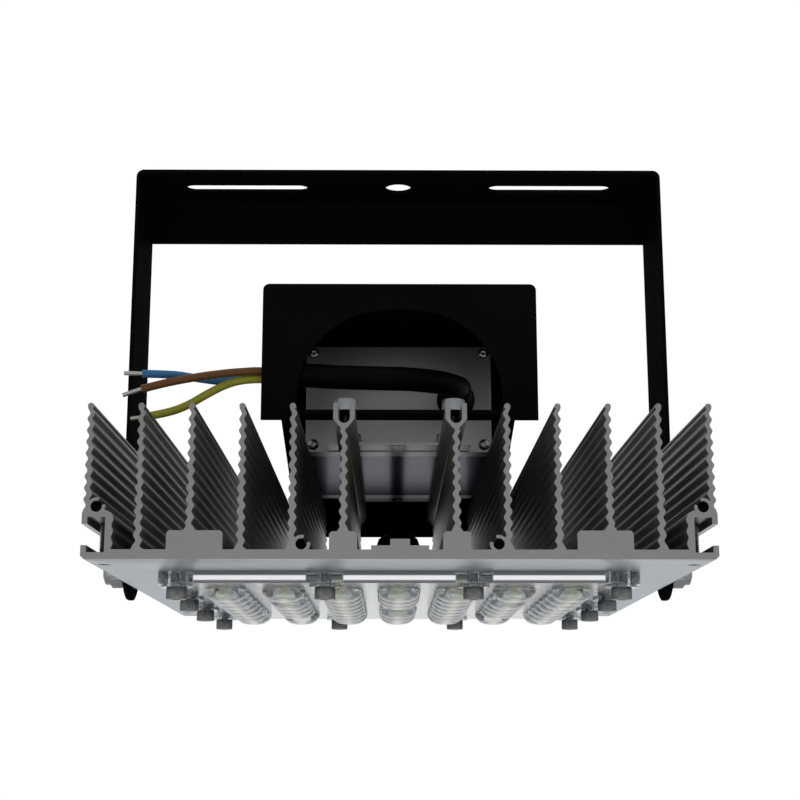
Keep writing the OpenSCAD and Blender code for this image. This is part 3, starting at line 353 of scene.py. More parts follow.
def finished(work, node, mat, ease, body, sharp):
    """The merged copy as a piece that takes the node's place, its edges rounded by ease metres."""
    mesh = bpy.data.meshes.new(node + "_finish")
    work.to_mesh(mesh)
    work.free()
    while mesh.attributes.get("custom_normal"):
        mesh.attributes.remove(mesh.attributes["custom_normal"])
    mesh.polygons.foreach_set("use_smooth", [True] * len(mesh.polygons))
    mesh.set_sharp_from_angle(angle=math.radians(sharp))
    mesh.materials.clear()
    mesh.materials.append(mat)
    obj = bpy.data.objects.new(node + "_finish", mesh)
    scene.collection.objects.link(obj)
    if ease:
        bevel = obj.modifiers.new("eased_edges", "BEVEL")
        bevel.width = ease
        bevel.segments = 2
        bevel.limit_method = "ANGLE"
        bevel.angle_limit = math.radians(sharp)
        bevel.harden_normals = True
    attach(obj, body)
    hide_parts(node)
    return obj


def eased(node, mat, ease=0.0002, body="lamp", sharp=40):
    """A node's own shape, finished."""
    finished(whole_faces(node), node, mat, ease, body, sharp)


def powder_coat():
    """Satin black powder coat: 0.05 mm of baked resin with a fine orange peel, grain 0.6 mm,
    and a slow cloudiness in how it takes the light."""
    mat, tree, bsdf = surface("black_powder_coat", {"Specular IOR Level": 0.0006})
    at = add(tree, "ShaderNodeTexCoord").outputs["Object"]
    peel = add(tree, "ShaderNodeTexNoise", {"Vector": at, "Scale": 1600.0, "Detail": 2.0})
    cloud = add(tree, "ShaderNodeTexNoise", {"Vector": at, "Scale": 60.0, "Detail": 4.0})
    tint = add(tree, "ShaderNodeMix", {"data_type": "RGBA", 0: cloud.outputs[0], 6: linear("#070707"),
                                       7: linear("#0B0B0B")})
    rough = add(tree, "ShaderNodeMapRange", {0: cloud.outputs[0], 3: 0.5, 4: 0.7})
    bump = add(tree, "ShaderNodeBump", {"Height": peel.outputs[0], "Distance": 0.00003, "Strength": 0.5})
    tree.links.new(tint.outputs[2], bsdf.inputs["Base Color"])
    tree.links.new(rough.outputs[0], bsdf.inputs["Roughness"])
    tree.links.new(bump.outputs[0], bsdf.inputs["Normal"])
    return mat


powder_black = powder_coat()
eased("yoke", powder_black, body="yoke")


# Heat sink
# One bare aluminium extrusion, 236 mm sawn from a long bar, so fine die lines run along
# every fin and the two cut ends show the saw's marks.
PORT_R = 1.75 * MM
PORT_WALL = 0.04 * MM
PORT_PITCH = 0.7 * MM
PORT_RIDGE = 12
PORT_AXES = [(31 * MM, 0, 4.75 * MM + LAMP[2]), (95.6 * MM, 0, 16.55 * MM + LAMP[2])]


def extruded_aluminium():
    """Bare 6063 aluminium: die lines 0.3 mm apart along Y and duller sawn ends with fine slanting marks.
    The faces that look down are painted paler, bluer, more metallic and brighter in reflection than
    the rest, painted light from below. The walls of the four screw ports, found by how far the ports'
    axes are, are painted near black, a painted shade in the bores, with cut threads as bumps."""
    mat, tree, bsdf = surface("extruded_aluminium", {})
    at = add(tree, "ShaderNodeTexCoord")
    lines_at = add(tree, "ShaderNodeMapping", {"Vector": at.outputs["Object"], "Scale": (3000, 12, 3000)})
    lines = add(tree, "ShaderNodeTexNoise", {"Vector": lines_at.outputs[0], "Scale": 1.0, "Detail": 4.0})
    saw_at = add(tree, "ShaderNodeMapping", {"Vector": at.outputs["Object"], "Scale": (160, 1, 2600),
                                             "Rotation": (0, 0.12, 0)})
    saw = add(tree, "ShaderNodeTexNoise", {"Vector": saw_at.outputs[0], "Scale": 1.0, "Detail": 5.0})
    cloud = add(tree, "ShaderNodeTexNoise", {"Vector": at.outputs["Object"], "Scale": 45.0, "Detail": 4.0})
    facing = add(tree, "ShaderNodeSeparateXYZ", {"Vector": at.outputs["Normal"]})
    end = add(tree, "ShaderNodeMath", {"operation": "ABSOLUTE", 0: facing.outputs[1]})
    is_end = add(tree, "ShaderNodeMapRange", {0: end.outputs[0], 1: 0.85, 2: 0.95})
    is_low = add(tree, "ShaderNodeMapRange", {0: facing.outputs[2], 1: -0.9, 2: -0.98})
    drawn = add(tree, "ShaderNodeMix", {"data_type": "RGBA", 0: cloud.outputs[0], 6: linear("#716F6B"),
                                        7: linear("#7F7D79")})
    # Painted light from below: the faces that look down take a paler, bluer copy of the metal's colour.
    under = add(tree, "ShaderNodeMix", {"data_type": "RGBA", 0: cloud.outputs[0], 6: linear("#939A9F"),
                                        7: linear("#9FA5AA")})
    sawn = add(tree, "ShaderNodeMix", {"data_type": "RGBA", 0: saw.outputs[0], 6: linear("#61605F"),
                                       7: linear("#6C6B6A")})
    colour = add(tree, "ShaderNodeMix", {"data_type": "RGBA", 0: is_low.outputs[0], 6: drawn.outputs[2],
                                         7: under.outputs[2]})
    colour = add(tree, "ShaderNodeMix", {"data_type": "RGBA", 0: is_end.outputs[0], 6: colour.outputs[2],
                                         7: sawn.outputs[2]})
    height = add(tree, "ShaderNodeMix", {"data_type": "FLOAT", 0: is_end.outputs[0], 2: lines.outputs[0],
                                         3: saw.outputs[0]})
    place = add(tree, "ShaderNodeSeparateXYZ", {"Vector": at.outputs["Object"]})
    half = add(tree, "ShaderNodeMath", {"operation": "ABSOLUTE", 0: place.outputs[0]})
    flat = add(tree, "ShaderNodeCombineXYZ", {0: half.outputs[0], 2: place.outputs[2]})
    gaps = [add(tree, "ShaderNodeVectorMath", {"operation": "DISTANCE", 0: flat.outputs[0], 1: axis})
            for axis in PORT_AXES]
    gap = add(tree, "ShaderNodeMath", {"operation": "MINIMUM", 0: gaps[0].outputs["Value"],
                                       1: gaps[1].outputs["Value"]})
    in_port = add(tree, "ShaderNodeMath", {"operation": "LESS_THAN", 0: gap.outputs[0],
                                           1: PORT_R + PORT_WALL})
    # Painted shade: the walls of the screw ports are painted near black.
    colour = add(tree, "ShaderNodeMix", {"data_type": "RGBA", 0: in_port.outputs[0], 6: colour.outputs[2],
                                         7: linear("#1E1D1C")})
    turns = add(tree, "ShaderNodeMath", {"operation": "MULTIPLY", 0: place.outputs[1], 1: 1 / PORT_PITCH})
    ridge = add(tree, "ShaderNodeMath", {"operation": "PINGPONG", 0: turns.outputs[0], 1: 0.5})
    ridge = add(tree, "ShaderNodeMath", {"operation": "MULTIPLY", 0: ridge.outputs[0], 1: PORT_RIDGE})
    height = add(tree, "ShaderNodeMix", {"data_type": "FLOAT", 0: in_port.outputs[0], 2: height.outputs[0],
                                         3: ridge.outputs[0]})
    rough = add(tree, "ShaderNodeMapRange", {0: is_end.outputs[0], 3: 0.36, 4: 0.45})
    # The sawn ends are fully metallic; so are the faces that look down, painted light from below that makes
    # them brighter than the rest.
    sawn_or_painted_lit = add(tree, "ShaderNodeMath", {"operation": "MAXIMUM", 0: is_end.outputs[0], 1: is_low.outputs[0]})
    metal = add(tree, "ShaderNodeMapRange", {0: sawn_or_painted_lit.outputs[0], 3: 0.8, 4: 1.0})
    tree.links.new(metal.outputs[0], bsdf.inputs["Metallic"])
    # Painted reflection: the faces that look down reflect brighter and bluer than the rest.
    slanting = add(tree, "ShaderNodeMix", {"data_type": "RGBA", 0: is_low.outputs[0],
                                           6: (0.55, 0.55, 0.54, 1), 7: (0.92, 0.93, 0.95, 1)})
    tree.links.new(slanting.outputs[2], bsdf.inputs["Specular Tint"])
    bump = add(tree, "ShaderNodeBump", {"Height": height.outputs[0], "Distance": 0.00002, "Strength": 0.4})
    tree.links.new(colour.outputs[2], bsdf.inputs["Base Color"])
    tree.links.new(rough.outputs[0], bsdf.inputs["Roughness"])
    tree.links.new(bump.outputs[0], bsdf.inputs["Normal"])
    return mat


eased("heat_sink", extruded_aluminium(), ease=0.12 * MM, sharp=50)


# Light source
# Fifty LED packages, yellow with phosphor, on a white circuit board that four screws hold, and
# a silicone cord that seals the board's recess.

# White solder mask: a baked lacquer, slightly wavy over the copper, 3 mm from wave to wave.
white_mask = mottled("white_solder_mask", "#9DA2A6", "#ACB1B5",
                     scale=300.0, depth=0.00002, values={"Roughness": 0.35})
eased("led_board", white_mask, ease=0.0001)
# Phosphor in silicone: a yellow filling, finely grained.
phosphor = mottled("phosphor_silicone", "#DBB840", "#E6CA58",
                   scale=900.0, depth=0.00002, values={"Roughness": 0.25})
eased("leds", phosphor, ease=0.0001)
# Cast silicone: a pale, matt cord.
silicone = mottled("cast_silicone", "#B9B9B4", "#CFCFCA",
                   scale=600.0, depth=0.00002, values={"Roughness": 0.5})
eased("lens_gasket", silicone, ease=0.0003)


# Lens plate
# One clear polycarbonate moulding, 164 mm square, with a full dome under each LED. The domes
# have faint turned rings and flutes, which the mould's tool left. Screws hold its rim.
LENS_DX = 20.3 * MM
LENS_DY = 15.7 * MM
LENS_R = 7.7 * MM
LENS_H = 4.3 * MM
LENS_ROWS = 8
LENS_COLS = 7
PLATE_LOW = LAMP[2] - 4 * MM
DOME_RINGS = 14
RING_STEP = 1.4 * MM
SEAT_GAP = 0.06 * MM
POLE = 0.02
FLUTES = 40
MARK_DEPTH = 0.06 * MM
FLAT_GRAIN = 6
IMAGE_HALF = 1.6 * MM
PLATE_HALF = 82 * MM
SCREW_STEP = 50.34 * MM
CLEAR_HALF = 6 * MM


def lens_centres():
    """A 7 by 8 grid without the two places over the lead and the four of the board's screws."""
    col, row = np.meshgrid(np.arange(LENS_COLS) - 3, np.arange(LENS_ROWS) - 3.5)
    here = ~((col == 0) & (abs(row) < 1)) & ~((abs(col) == 2) & (abs(row) == 2.5))
    return np.stack([col[here] * LENS_DX, row[here] * LENS_DY], -1)


def dome(rim, centre):
    """Rings from the rim to close by the pole, at s = 1 to 0 of the rim's distance from the
    centre, where the dome hangs h (1 - s ** 3) ** 0.6 below the plate."""
    s = np.cos(np.linspace(0, np.pi / 2, DOME_RINGS + 1))[:, None]
    s[-1] = POLE
    xy = centre + s[..., None] * (rim[None, :, :2] - centre)
    z = PLATE_LOW - LENS_H * (1 - s**3) ** 0.6 + np.zeros((1, len(rim)))
    return np.concatenate([xy, z[..., None]], -1)


def lens_moulding():
    """The CAD plate with each of its plain caps taken off and a full dome grown from the rim. Its
    upper face lies a little below the metal, so that light passes between the two."""
    work = whole_faces("lens_plate")
    centres = lens_centres()
    middles = np.array([f.calc_center_median()[:] for f in work.faces])
    near = np.linalg.norm(middles[:, None, :2] - centres[None], axis=2).min(1)
    caps = (near < LENS_R) & (middles[:, 2] < PLATE_LOW - 0.02 * MM)
    faces = list(work.faces)
    bmesh.ops.delete(work, geom=[faces[i] for i in np.flatnonzero(caps)], context="FACES")
    rims = np.array([v.co[:] for v in work.verts if v.is_boundary])
    owner = np.linalg.norm(rims[:, None, :2] - centres[None], axis=2).argmin(1)
    for lens, centre in enumerate(centres):
        # The rim's corners in order round the dome.
        rim = rims[owner == lens]
        rim = rim[np.argsort(np.arctan2(*(rim[:, :2] - centre).T[::-1]))]
        # The last face but one would close the rim, where the dome opens into the plate.
        quads = grid_faces(DOME_RINGS + 1, len(rim))
        quads.pop(-2)
        domed = bpy.data.meshes.new("dome")
        domed.from_pydata(dome(rim, centre).reshape(-1, 3).tolist(), [], quads)
        work.from_mesh(domed)
        bpy.data.meshes.remove(domed)
    bmesh.ops.remove_doubles(work, verts=work.verts, dist=1e-6)
    bmesh.ops.recalc_face_normals(work, faces=work.faces)
    seated = [v for v in work.verts if v.co.z > LAMP[2] - 0.01 * MM]
    bmesh.ops.translate(work, verts=seated, vec=(0, 0, -SEAT_GAP))
    return work


def clear_polycarbonate():
    """Moulded clear polycarbonate, IOR 1.585 and faintly blue. Its colour darkens to blue-grey where
    its face slants from view: a painted shade that draws a dark rim round each dome. Round each
    lens's own middle, found by the place modulo the lenses' spacing, run the tool's turned rings, and
    forty flutes that end 7 mm out. Between the lenses the face has the mould's grain, 1.4 mm wide.
    All three are drawn coarser than the real ones, so that they show. A yellow tinge down the middle
    of each lens is a painted image of the phosphor, which the real lens's inner hollow spreads."""
    mat, tree, bsdf = surface("clear_polycarbonate", {"Roughness": 0.0, "IOR": 1.585,
                                                      "Transmission Weight": 1.0})
    at = add(tree, "ShaderNodeTexCoord").outputs["Object"]
    split = add(tree, "ShaderNodeSeparateXYZ", {"Vector": at})
    x = add(tree, "ShaderNodeMath", {"operation": "ADD", 0: split.outputs[0], 1: 10.5 * LENS_DX})
    x = add(tree, "ShaderNodeMath", {"operation": "MODULO", 0: x.outputs[0], 1: LENS_DX})
    x = add(tree, "ShaderNodeMath", {"operation": "SUBTRACT", 0: x.outputs[0], 1: LENS_DX / 2})
    y = add(tree, "ShaderNodeMath", {"operation": "ADD", 0: split.outputs[1], 1: 10 * LENS_DY})
    y = add(tree, "ShaderNodeMath", {"operation": "MODULO", 0: y.outputs[0], 1: LENS_DY})
    y = add(tree, "ShaderNodeMath", {"operation": "SUBTRACT", 0: y.outputs[0], 1: LENS_DY / 2})
    flat = add(tree, "ShaderNodeCombineXYZ", {0: x.outputs[0], 1: y.outputs[0]})
    out = add(tree, "ShaderNodeVectorMath", {"operation": "LENGTH", 0: flat.outputs[0]})
    angle = add(tree, "ShaderNodeMath", {"operation": "ARCTAN2", 0: y.outputs[0], 1: x.outputs[0]})
    flutes = add(tree, "ShaderNodeMath", {"operation": "MULTIPLY", 0: angle.outputs[0], 1: FLUTES})
    flutes = add(tree, "ShaderNodeMath", {"operation": "SINE", 0: flutes.outputs[0]})
    inner = add(tree, "ShaderNodeMapRange", {0: out.outputs["Value"], 1: 7 * MM, 2: 5 * MM})
    flutes = add(tree, "ShaderNodeMath", {"operation": "MULTIPLY", 0: flutes.outputs[0],
                                          1: inner.outputs[0]})
    rings = add(tree, "ShaderNodeMath", {"operation": "MULTIPLY", 0: out.outputs["Value"],
                                          1: 2 * math.pi / RING_STEP})
    rings = add(tree, "ShaderNodeMath", {"operation": "SINE", 0: rings.outputs[0]})
    inside = add(tree, "ShaderNodeMapRange", {0: out.outputs["Value"], 1: LENS_R,
                                             2: LENS_R - 0.3 * MM, 4: 0.6})
    rings = add(tree, "ShaderNodeMath", {"operation": "MULTIPLY", 0: rings.outputs[0],
                                          1: inside.outputs[0]})
    both = add(tree, "ShaderNodeMath", {"operation": "ADD", 0: flutes.outputs[0], 1: rings.outputs[0]})
    grain = add(tree, "ShaderNodeTexNoise", {"Vector": at, "Scale": 700.0, "Detail": 2.0})
    outside = add(tree, "ShaderNodeMapRange", {0: out.outputs["Value"], 1: LENS_R, 2: LENS_R + 0.3 * MM,
                                              4: FLAT_GRAIN})
    grain = add(tree, "ShaderNodeMath", {"operation": "MULTIPLY", 0: grain.outputs[0],
                                         1: outside.outputs[0]})
    both = add(tree, "ShaderNodeMath", {"operation": "ADD", 0: both.outputs[0], 1: grain.outputs[0]})
    bump = add(tree, "ShaderNodeBump", {"Height": both.outputs[0], "Distance": MARK_DEPTH, "Strength": 0.5})
    # Painted shade: the colour darkens where the face slants from view, a dark rim round each dome.
    painted_rim_shade = add(tree, "ShaderNodeLayerWeight", {"Blend": 0.35})
    tint = add(tree, "ShaderNodeMix", {"data_type": "RGBA", 0: painted_rim_shade.outputs["Facing"],
                                       6: linear("#D3DEE6"), 7: linear("#75828C")})
    # Painted image of the phosphor: a yellow tinge down the middle of each column of lenses.
    beside = add(tree, "ShaderNodeMath", {"operation": "ABSOLUTE", 0: x.outputs[0]})
    image = add(tree, "ShaderNodeMapRange", {0: beside.outputs[0], 1: IMAGE_HALF + 1 * MM,
                                            2: IMAGE_HALF, 4: 0.6})
    tint = add(tree, "ShaderNodeMix", {"data_type": "RGBA", 0: image.outputs[0], 6: tint.outputs[2],
                                       7: linear("#F4F1D6")})
    tree.links.new(tint.outputs[2], bsdf.inputs["Base Color"])
    tree.links.new(bump.outputs[0], bsdf.inputs["Normal"])
    return mat


def plate_edge_painted_light():
    """The moulding's outer edge, painted in bands of light and shade from top to bottom: a painted shade
    where it meets the metal, a painted white highlight across its middle and darker grey at its foot,
    and clear for 6 mm on each side of a screw."""
    mat, tree, bsdf = surface("polycarbonate_edge_painted_light", {"IOR": 1.585})
    at = add(tree, "ShaderNodeTexCoord")
    split = add(tree, "ShaderNodeSeparateXYZ", {"Vector": at.outputs["Object"]})
    facing = add(tree, "ShaderNodeSeparateXYZ", {"Vector": at.outputs["Normal"]})
    across = add(tree, "ShaderNodeMath", {"operation": "ABSOLUTE", 0: facing.outputs[0]})
    side = add(tree, "ShaderNodeMath", {"operation": "GREATER_THAN", 0: across.outputs[0], 1: 0.7})
    along = add(tree, "ShaderNodeMix", {"data_type": "FLOAT", 0: side.outputs[0], 2: split.outputs[0],
                                        3: split.outputs[1]})
    along = add(tree, "ShaderNodeMath", {"operation": "ABSOLUTE", 0: along.outputs[0]})
    along = add(tree, "ShaderNodeMath", {"operation": "SUBTRACT", 0: along.outputs[0], 1: SCREW_STEP / 2})
    gap = add(tree, "ShaderNodeMath", {"operation": "PINGPONG", 0: along.outputs[0], 1: SCREW_STEP / 2})
    clear = add(tree, "ShaderNodeMapRange", {0: gap.outputs[0], 1: CLEAR_HALF + 0.5 * MM,
                                            2: CLEAR_HALF})
    down = add(tree, "ShaderNodeMapRange", {0: split.outputs[2], 1: LAMP[2], 2: PLATE_LOW})
    # Painted light: dark grey at the top where the edge meets the metal, white across the middle, darker
    # grey at the foot.
    painted_bands = add(tree, "ShaderNodeValToRGB", {0: down.outputs[0]})
    painted_band_stops = [(0.0, "#3A3D40"), (0.3, "#45484B"), (0.4, "#FFFFFF"), (0.7, "#FFFFFF"), (0.78, "#5F6469"),
             (1.0, "#43484D")]
    while len(painted_bands.color_ramp.elements) < len(painted_band_stops):
        painted_bands.color_ramp.elements.new(0.5)
    for element, (place, code) in zip(painted_bands.color_ramp.elements, painted_band_stops):
        element.position = place
        element.color = linear(code)
    colour = add(tree, "ShaderNodeMix", {"data_type": "RGBA", 0: clear.outputs[0], 6: painted_bands.outputs[0],
                                         7: linear("#A9B2B8")})
    rough = add(tree, "ShaderNodeMapRange", {0: clear.outputs[0], 3: 0.25, 4: 0.02})
    passing = add(tree, "ShaderNodeMapRange", {0: clear.outputs[0], 3: 0.1, 4: 1.0})
    tree.links.new(colour.outputs[2], bsdf.inputs["Base Color"])
    tree.links.new(rough.outputs[0], bsdf.inputs["Roughness"])
    tree.links.new(passing.outputs[0], bsdf.inputs["Transmission Weight"])
    return mat


plate = finished(lens_moulding(), "lens_plate", clear_polycarbonate(), 0.0004, "lamp", 50)
# The upright faces at the plate's outer rim take the edge's painted bands of shade and highlight.
plate.data.materials.append(plate_edge_painted_light())
normals = np.zeros((len(plate.data.polygons), 3), np.float32)
plate.data.polygons.foreach_get("normal", normals.ravel())
middles = np.zeros_like(normals)
plate.data.polygons.foreach_get("center", middles.ravel())
outer = (abs(normals[:, 2]) < 0.1) & (abs(middles[:, :2]).max(1) > PLATE_HALF - 2.5 * MM)
plate.data.polygons.foreach_set("material_index", outer.astype(np.int32))


# Screws
# Socket cap screws of zinc plated steel: knurled heads with a hexagon socket, and rolled
# threads. The lens plate's and channels' are dull, the hood's and driver's bright.
M4_PITCH = 0.7
M4_DEPTH = 0.42
HEX_KEY = 3
SINK_TOP = 49.9
GROOVE_X = 17.9


def turned(rows, sides=72, pitch=M4_PITCH):
    """A turned part from rows of radius, height, across flats, knurl depth and thread depth, in
    millimetres. A point's radius is the smaller of the row's and the hexagon's (half the flats over
    the cosine of the angle to the nearest flat's middle), less knurl (1 + cos 36 v) / 2, less
    thread depth times the triangle wave of height / pitch - turns."""
    r, z, flats, knurl, thread = (np.array(rows, float).T)[..., None]
    v = np.linspace(0, 2 * np.pi, sides, endpoint=False)[None]
    off = (v + np.pi / 6) % (np.pi / 3) - np.pi / 6
    hexagon = np.where(flats > 0, flats / 2 / np.cos(off), np.inf)
    wave = np.abs((z / pitch - v / (2 * np.pi)) % 1 * 2 - 1)
    r = np.minimum(r, hexagon) - knurl * (1 + np.cos(36 * v)) / 2 - thread * wave
    return np.stack([r * np.cos(v), r * np.sin(v), z + 0 * v], -1)


def thread_rows(d, top, bottom, pitch=M4_PITCH, depth=M4_DEPTH):
    """Six rows to each turn of the thread, and a chamfered point."""
    z = np.arange(top, bottom + 0.4, -pitch / 6)
    rows = [(d / 2, height, 0, 0, depth) for height in z]
    return rows + [(d / 2 - 0.5, bottom, 0, 0, 0), (0, bottom, 0, 0, 0)]


def cap_screw(length, head_d, head_h, knurl=0.16):
    """An M4 screw: socket floor and wall, chamfered rim, knurled side, bearing face, and thread."""
    key_r = HEX_KEY / math.sqrt(3)
    head_r = head_d / 2
    head = [(0, head_h / 2, 0, 0, 0), (key_r, head_h / 2, HEX_KEY, 0, 0),
            (key_r, head_h - 0.15, HEX_KEY, 0, 0), (key_r + 0.15, head_h, 0, 0, 0),
            (head_r - 0.45, head_h, 0, 0, 0), (head_r - 0.12, head_h - 0.12, 0, 0, 0),
            (head_r, head_h - 0.42, 0, knurl, 0), (head_r, head_h / 2, 0, knurl, 0),
            (head_r, 0.22, 0, knurl, 0), (head_r - 0.14, 0.05, 0, 0, 0), (head_r - 0.3, 0, 0, 0, 0),
            (2, 0, 0, 0, 0)]
    return turned(head + thread_rows(4, -0.2, -length))


def placed(points, at, up):
    """Turns a part's own Z to the direction up, and puts it at a place in the lamp's millimetres."""
    up = np.array(up, float)
    side = np.array((0.0, 1.0, 0.0)) if abs(up[1]) < 0.5 else np.array((1.0, 0.0, 0.0))
    turn = np.stack([side, np.cross(up, side), up])
    return (points @ turn + np.array(at, float)) * MM + LAMP


# Dull zinc: blue-grey passivated plating, its crystals about 0.5 mm and barely seen.
dull_zinc = mottled("dull_zinc_plate", "#4E5150", "#686B6A",
                    scale=1900.0, depth=0.00002, values={"Metallic": 1.0, "Roughness": 0.38})
# Bright zinc: the same plating, brightened, so smoother and paler.
bright_zinc = mottled("bright_zinc_plate", "#66696B", "#7B7D7F",
                      scale=1900.0, depth=0.00002, values={"Metallic": 1.0, "Roughness": 0.3})

# A lens screw passes the boss (1 mm) and the plate (4 mm), and holds 3 mm in the heat sink.
BOSS_LOW = -5
LENS_SCREWS_AT = [(x * a, y * b) for x in (-1, 1) for y in (-1, 1)
                  for a, b in ((75.5, 75.5), (25.2, 75.5), (77.7, 25))]
lens_screw = cap_screw(length=8, head_d=7, head_h=4)
piece("lens_screws_turned", [placed(lens_screw, (x, y, BOSS_LOW), (0, 0, -1))
                             for x, y in LENS_SCREWS_AT],
      dull_zinc, ["lens_screws"], sharp=30)

# The set screws stand through the channels' floors, their threads in sight from the ends.
SET_KEY = 2
SET_SCREW_L = 13.2
CHANNEL_X = 95.4
CHANNEL_SCREW_Y = 101
set_rows = [(0, 2, 0, 0, 0), (SET_KEY / math.sqrt(3), 2, SET_KEY, 0, 0),
            (SET_KEY / math.sqrt(3), 0.1, SET_KEY, 0, 0), (1.6, 0, 0, 0, 0)]
set_rows += [(2, z, 0, 0, M4_DEPTH) for z in np.arange(0.3, 12.9, M4_PITCH / 6)]
set_rows += [(1.5, SET_SCREW_L, 0, 0, 0), (0, SET_SCREW_L, 0, 0, 0)]
set_screw = turned(set_rows, sides=48)
piece("channel_screws_turned", [placed(set_screw, (x * CHANNEL_X, y * CHANNEL_SCREW_Y, 0), (0, 0, 1))
                                for x in (-1, 1) for y in (-1, 1)],
      dull_zinc, ["channel_screws"], sharp=30)

# The hood's and the driver's screws enter the grooved fins, each over the sheet it holds.
TAB_T = 1.5
TAB_SCREW_Y = -96.6
REAR_FACE_Y = 119.5
REAR_SCREW_Z = 46.4
FOOT_T = 1.3
FOOT_SCREWS_Y = (-38.25, 88.75)
tab_screw = cap_screw(length=6.9, head_d=7.6, head_h=4.2, knurl=0.08)
piece("hood_front_screws_turned",
      [placed(tab_screw, (x * GROOVE_X, TAB_SCREW_Y, SINK_TOP + TAB_T), (0, 0, 1)) for x in (-1, 1)],
      bright_zinc, ["hood_front_screws"], sharp=30)
rear_screw = cap_screw(length=9, head_d=7, head_h=4)
piece("hood_rear_screws_turned",
      [placed(rear_screw, (x * GROOVE_X, REAR_FACE_Y, REAR_SCREW_Z), (0, 1, 0)) for x in (-1, 1)],
      bright_zinc, ["hood_rear_screws"], sharp=30)
foot_screw = cap_screw(length=6.7, head_d=7.6, head_h=4.2, knurl=0.08)
piece("driver_mount_screws_turned",
      [placed(foot_screw, (x * GROOVE_X, y, SINK_TOP + FOOT_T), (0, 0, 1))
       for x in (-1, 1) for y in FOOT_SCREWS_Y],
      bright_zinc, ["driver_mount_screws"], sharp=30)
eased("board_screws", dull_zinc, ease=0.0002)


# Cable gland and driver's lead
# A moulded black nylon gland of 16 mm thread seals the driver's lead into the heat sink: a
# hexagon body, a rubber seal and a dome nut with a plain collar.

# Moulded nylon: near black and glossy, with a faint grain of 0.7 mm.
black_nylon = mottled("moulded_black_nylon", "#070707", "#0D0D0D",
                      scale=1500.0, depth=0.00001, values={"Roughness": 0.1, "Specular IOR Level": 0.5})
eased("gland_body", black_nylon, ease=0.0003)
eased("gland_nut", black_nylon, ease=0.0005)
eased("gland_seal", black_rubber, ease=0.0002)
eased("driver_lead", black_rubber, ease=0, sharp=60)


# Strain reliefs
# Tapered boots of black rubber where the mains cable and the lead leave the driver's caps.
# The mains boot has a flange and ring grooves that let it bend with the cable.
BOOT_AT = (21.6, -32, 69.7)
BOOT_FOOT = 2.4
BOOT_R = 6.32
BOOT_TAPER = 0.0855
GROOVE_STEP = 2.5
GROOVE_DEPTH = 0.75
boot = [(4.3, 0.3, 0, 0, 0), (7.1, 0.3, 0, 0, 0), (7.1, 1.7, 0, 0, 0), (6.9, 2, 0, 0, 0),
        (6.35, 2.2, 0, 0, 0)]
boot_z = np.linspace(BOOT_FOOT, 19.7, 80)
boot_r = BOOT_R - (boot_z - BOOT_FOOT) * BOOT_TAPER
# Depth x (cos(2 pi z / step) - 0.35) where that is above 0, but not at the boot's two ends.
wave = np.clip(np.cos((boot_z - 4.4) * 2 * np.pi / GROOVE_STEP) - 0.35, 0, 1)
groove = wave * GROOVE_DEPTH * (boot_z > 3.4) * (boot_z < 18.4)
boot += [(r, z, 0, 0, 0) for r, z in zip(boot_r - groove, boot_z)]
boot += [(4.6, 20, 0, 0, 0), (4.16, 20, 0, 0, 0), (4.16, 19, 0, 0, 0)]
piece("mains_strain_relief_moulded", [placed(turned(boot, sides=48), BOOT_AT, (0, -1, 0))],
      black_rubber, ["mains_strain_relief"], sharp=45)
eased("lead_strain_relief", black_rubber, ease=0.0003)


# Hood
# One sheet of 1.5 mm steel, cut, folded and powder coated as the yoke is, with an arched
# window in front and a tab that two screws hold in the grooved fins.
eased("hood", powder_black)


# Driver
# An anodised aluminium case between two cast end caps. Eight small screws hold the caps, and
# four cap screws hold the caps' feet in the grooved fins.
def anodised_case():
    """Clear anodised extrusion, smooth and blue-grey, with faint lines drawn along its length,
    about 0.6 mm apart."""
    mat, tree, bsdf = surface("anodised_case_aluminium", {"Metallic": 1.0, "Roughness": 0.22,
                                                           "Specular Tint": (0.5, 0.51, 0.54, 1)})
    at = add(tree, "ShaderNodeTexCoord").outputs["Object"]
    lines_at = add(tree, "ShaderNodeMapping", {"Vector": at, "Scale": (1800, 8, 1800)})
    lines = add(tree, "ShaderNodeTexNoise", {"Vector": lines_at.outputs[0], "Scale": 1.0, "Detail": 3.0})
    tint = add(tree, "ShaderNodeMix", {"data_type": "RGBA", 0: lines.outputs[0], 6: linear("#43474C"),
                                       7: linear("#4F5459")})
    bump = add(tree, "ShaderNodeBump", {"Height": lines.outputs[0], "Distance": 0.00001, "Strength": 0.3})
    tree.links.new(tint.outputs[2], bsdf.inputs["Base Color"])
    tree.links.new(bump.outputs[0], bsdf.inputs["Normal"])
    return mat


eased("driver_case", anodised_case(), ease=0.0003)
# Cast zinc caps, blasted and left bare: a dull metal with a sand-like grain of about 0.8 mm.
cast_zinc = mottled("blasted_cast_zinc", "#656562", "#6F6F6C",
                    scale=1200.0, depth=0.00002, values={"Metallic": 1.0, "Roughness": 0.32})
eased("driver_front_cap", cast_zinc, ease=0.0004)
eased("driver_rear_cap", cast_zinc, ease=0.0004)
# Green solder mask, hidden in the case: a baked lacquer, wavy over the parts.
green_mask = mottled("green_solder_mask", "#1F4F2C", "#2F6B3C",
                     scale=500.0, depth=0.00003, values={"Roughness": 0.4})
eased("driver_board", green_mask, ease=0.0003)

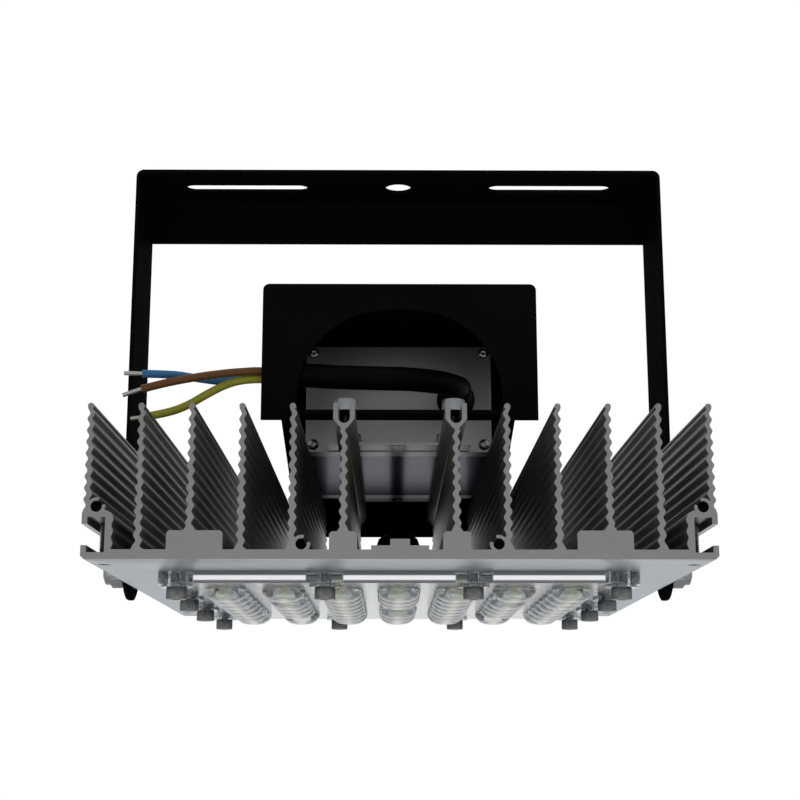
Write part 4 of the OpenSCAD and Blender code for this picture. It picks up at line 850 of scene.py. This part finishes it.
# The caps' screws: M2.5, with low round heads and small hexagon sockets.
PAN_KEY = 1.3
PAN_PITCH = 0.45
PAN_DEPTH = 0.25
CAP_SCREW_X = 32.2
CAP_SCREWS_Z = (52.7, 87.8)
CAPS_Y = (-32, 82.5)
pan_head = [(0, 0.75, 0, 0, 0), (0.75, 0.75, PAN_KEY, 0, 0), (0.75, 1.5, PAN_KEY, 0, 0),
            (0.9, 1.58, 0, 0, 0), (1.4, 1.45, 0, 0, 0), (1.8, 1.1, 0, 0, 0), (2.05, 0.55, 0, 0, 0),
            (2.1, 0, 0, 0, 0), (1.25, 0, 0, 0, 0)]
pan_rows = pan_head + thread_rows(2.5, -0.2, -14.4, PAN_PITCH, PAN_DEPTH)
pan_screw = turned(pan_rows, sides=48, pitch=PAN_PITCH)
piece("driver_cap_screws_turned",
      [placed(pan_screw, (x * CAP_SCREW_X, y, z), (0, np.sign(y), 0))
       for x in (-1, 1) for y in CAPS_Y for z in CAP_SCREWS_Z],
      bright_zinc, ["driver_cap_screws"], sharp=30)


# Pivots
# M6 hexagon bolts stand in the side channels and carry the yoke's arms: a spacer inside each
# arm, and a washer and a lock nut with a round collar outside, all zinc plated.
M6_PITCH = 1.0
M6_DEPTH = 0.6
M6_FLATS = 10
M6_CORNER_R = 5.77
PIVOT_Z = 7.65
HEAD_FACE_X = 98.2
NUT_FACE_X = 106.9
bolt_rows = [(0, -4, 0, 0, 0), (4.6, -4, M6_FLATS, 0, 0), (M6_CORNER_R, -3.35, M6_FLATS, 0, 0),
             (M6_CORNER_R, 0, M6_FLATS, 0, 0), (3, 0, 0, 0, 0)]
bolt_rows += [(3, z, 0, 0, M6_DEPTH) for z in np.arange(0.4, 16.1, M6_PITCH / 6)]
bolt_rows += [(2.5, 16.3, 0, 0, 0), (0, 16.3, 0, 0, 0)]
bolt = turned(bolt_rows, sides=48, pitch=M6_PITCH)
nut = turned([(3.05, 0, 0, 0, 0), (4.8, 0, M6_FLATS, 0, 0), (M6_CORNER_R, 0.45, M6_FLATS, 0, 0),
              (M6_CORNER_R, 4.1, M6_FLATS, 0, 0), (5.1, 4.6, M6_FLATS, 0, 0), (4.5, 4.65, 0, 0, 0),
              (4.5, 6.4, 0, 0, 0), (4.3, 6.9, 0, 0, 0), (3.9, 7.1, 0, 0, 0), (3.3, 7.1, 0, 0, 0),
              (3.05, 6.6, 0, 0, 0)], sides=96)
piece("pivot_bolts_turned", [placed(bolt, (x * HEAD_FACE_X, 0, PIVOT_Z), (x, 0, 0)) for x in (-1, 1)],
      dull_zinc, ["pivot_bolts"], sharp=30)
piece("pivot_lock_nuts_turned", [placed(nut, (x * NUT_FACE_X, 0, PIVOT_Z), (x, 0, 0)) for x in (-1, 1)],
      bright_zinc, ["pivot_lock_nuts"], sharp=30)
eased("pivot_spacers", dull_zinc, ease=0.0002)
eased("pivot_washers", bright_zinc, ease=0.0002)


# View transform
scene.view_settings.view_transform = "Standard"
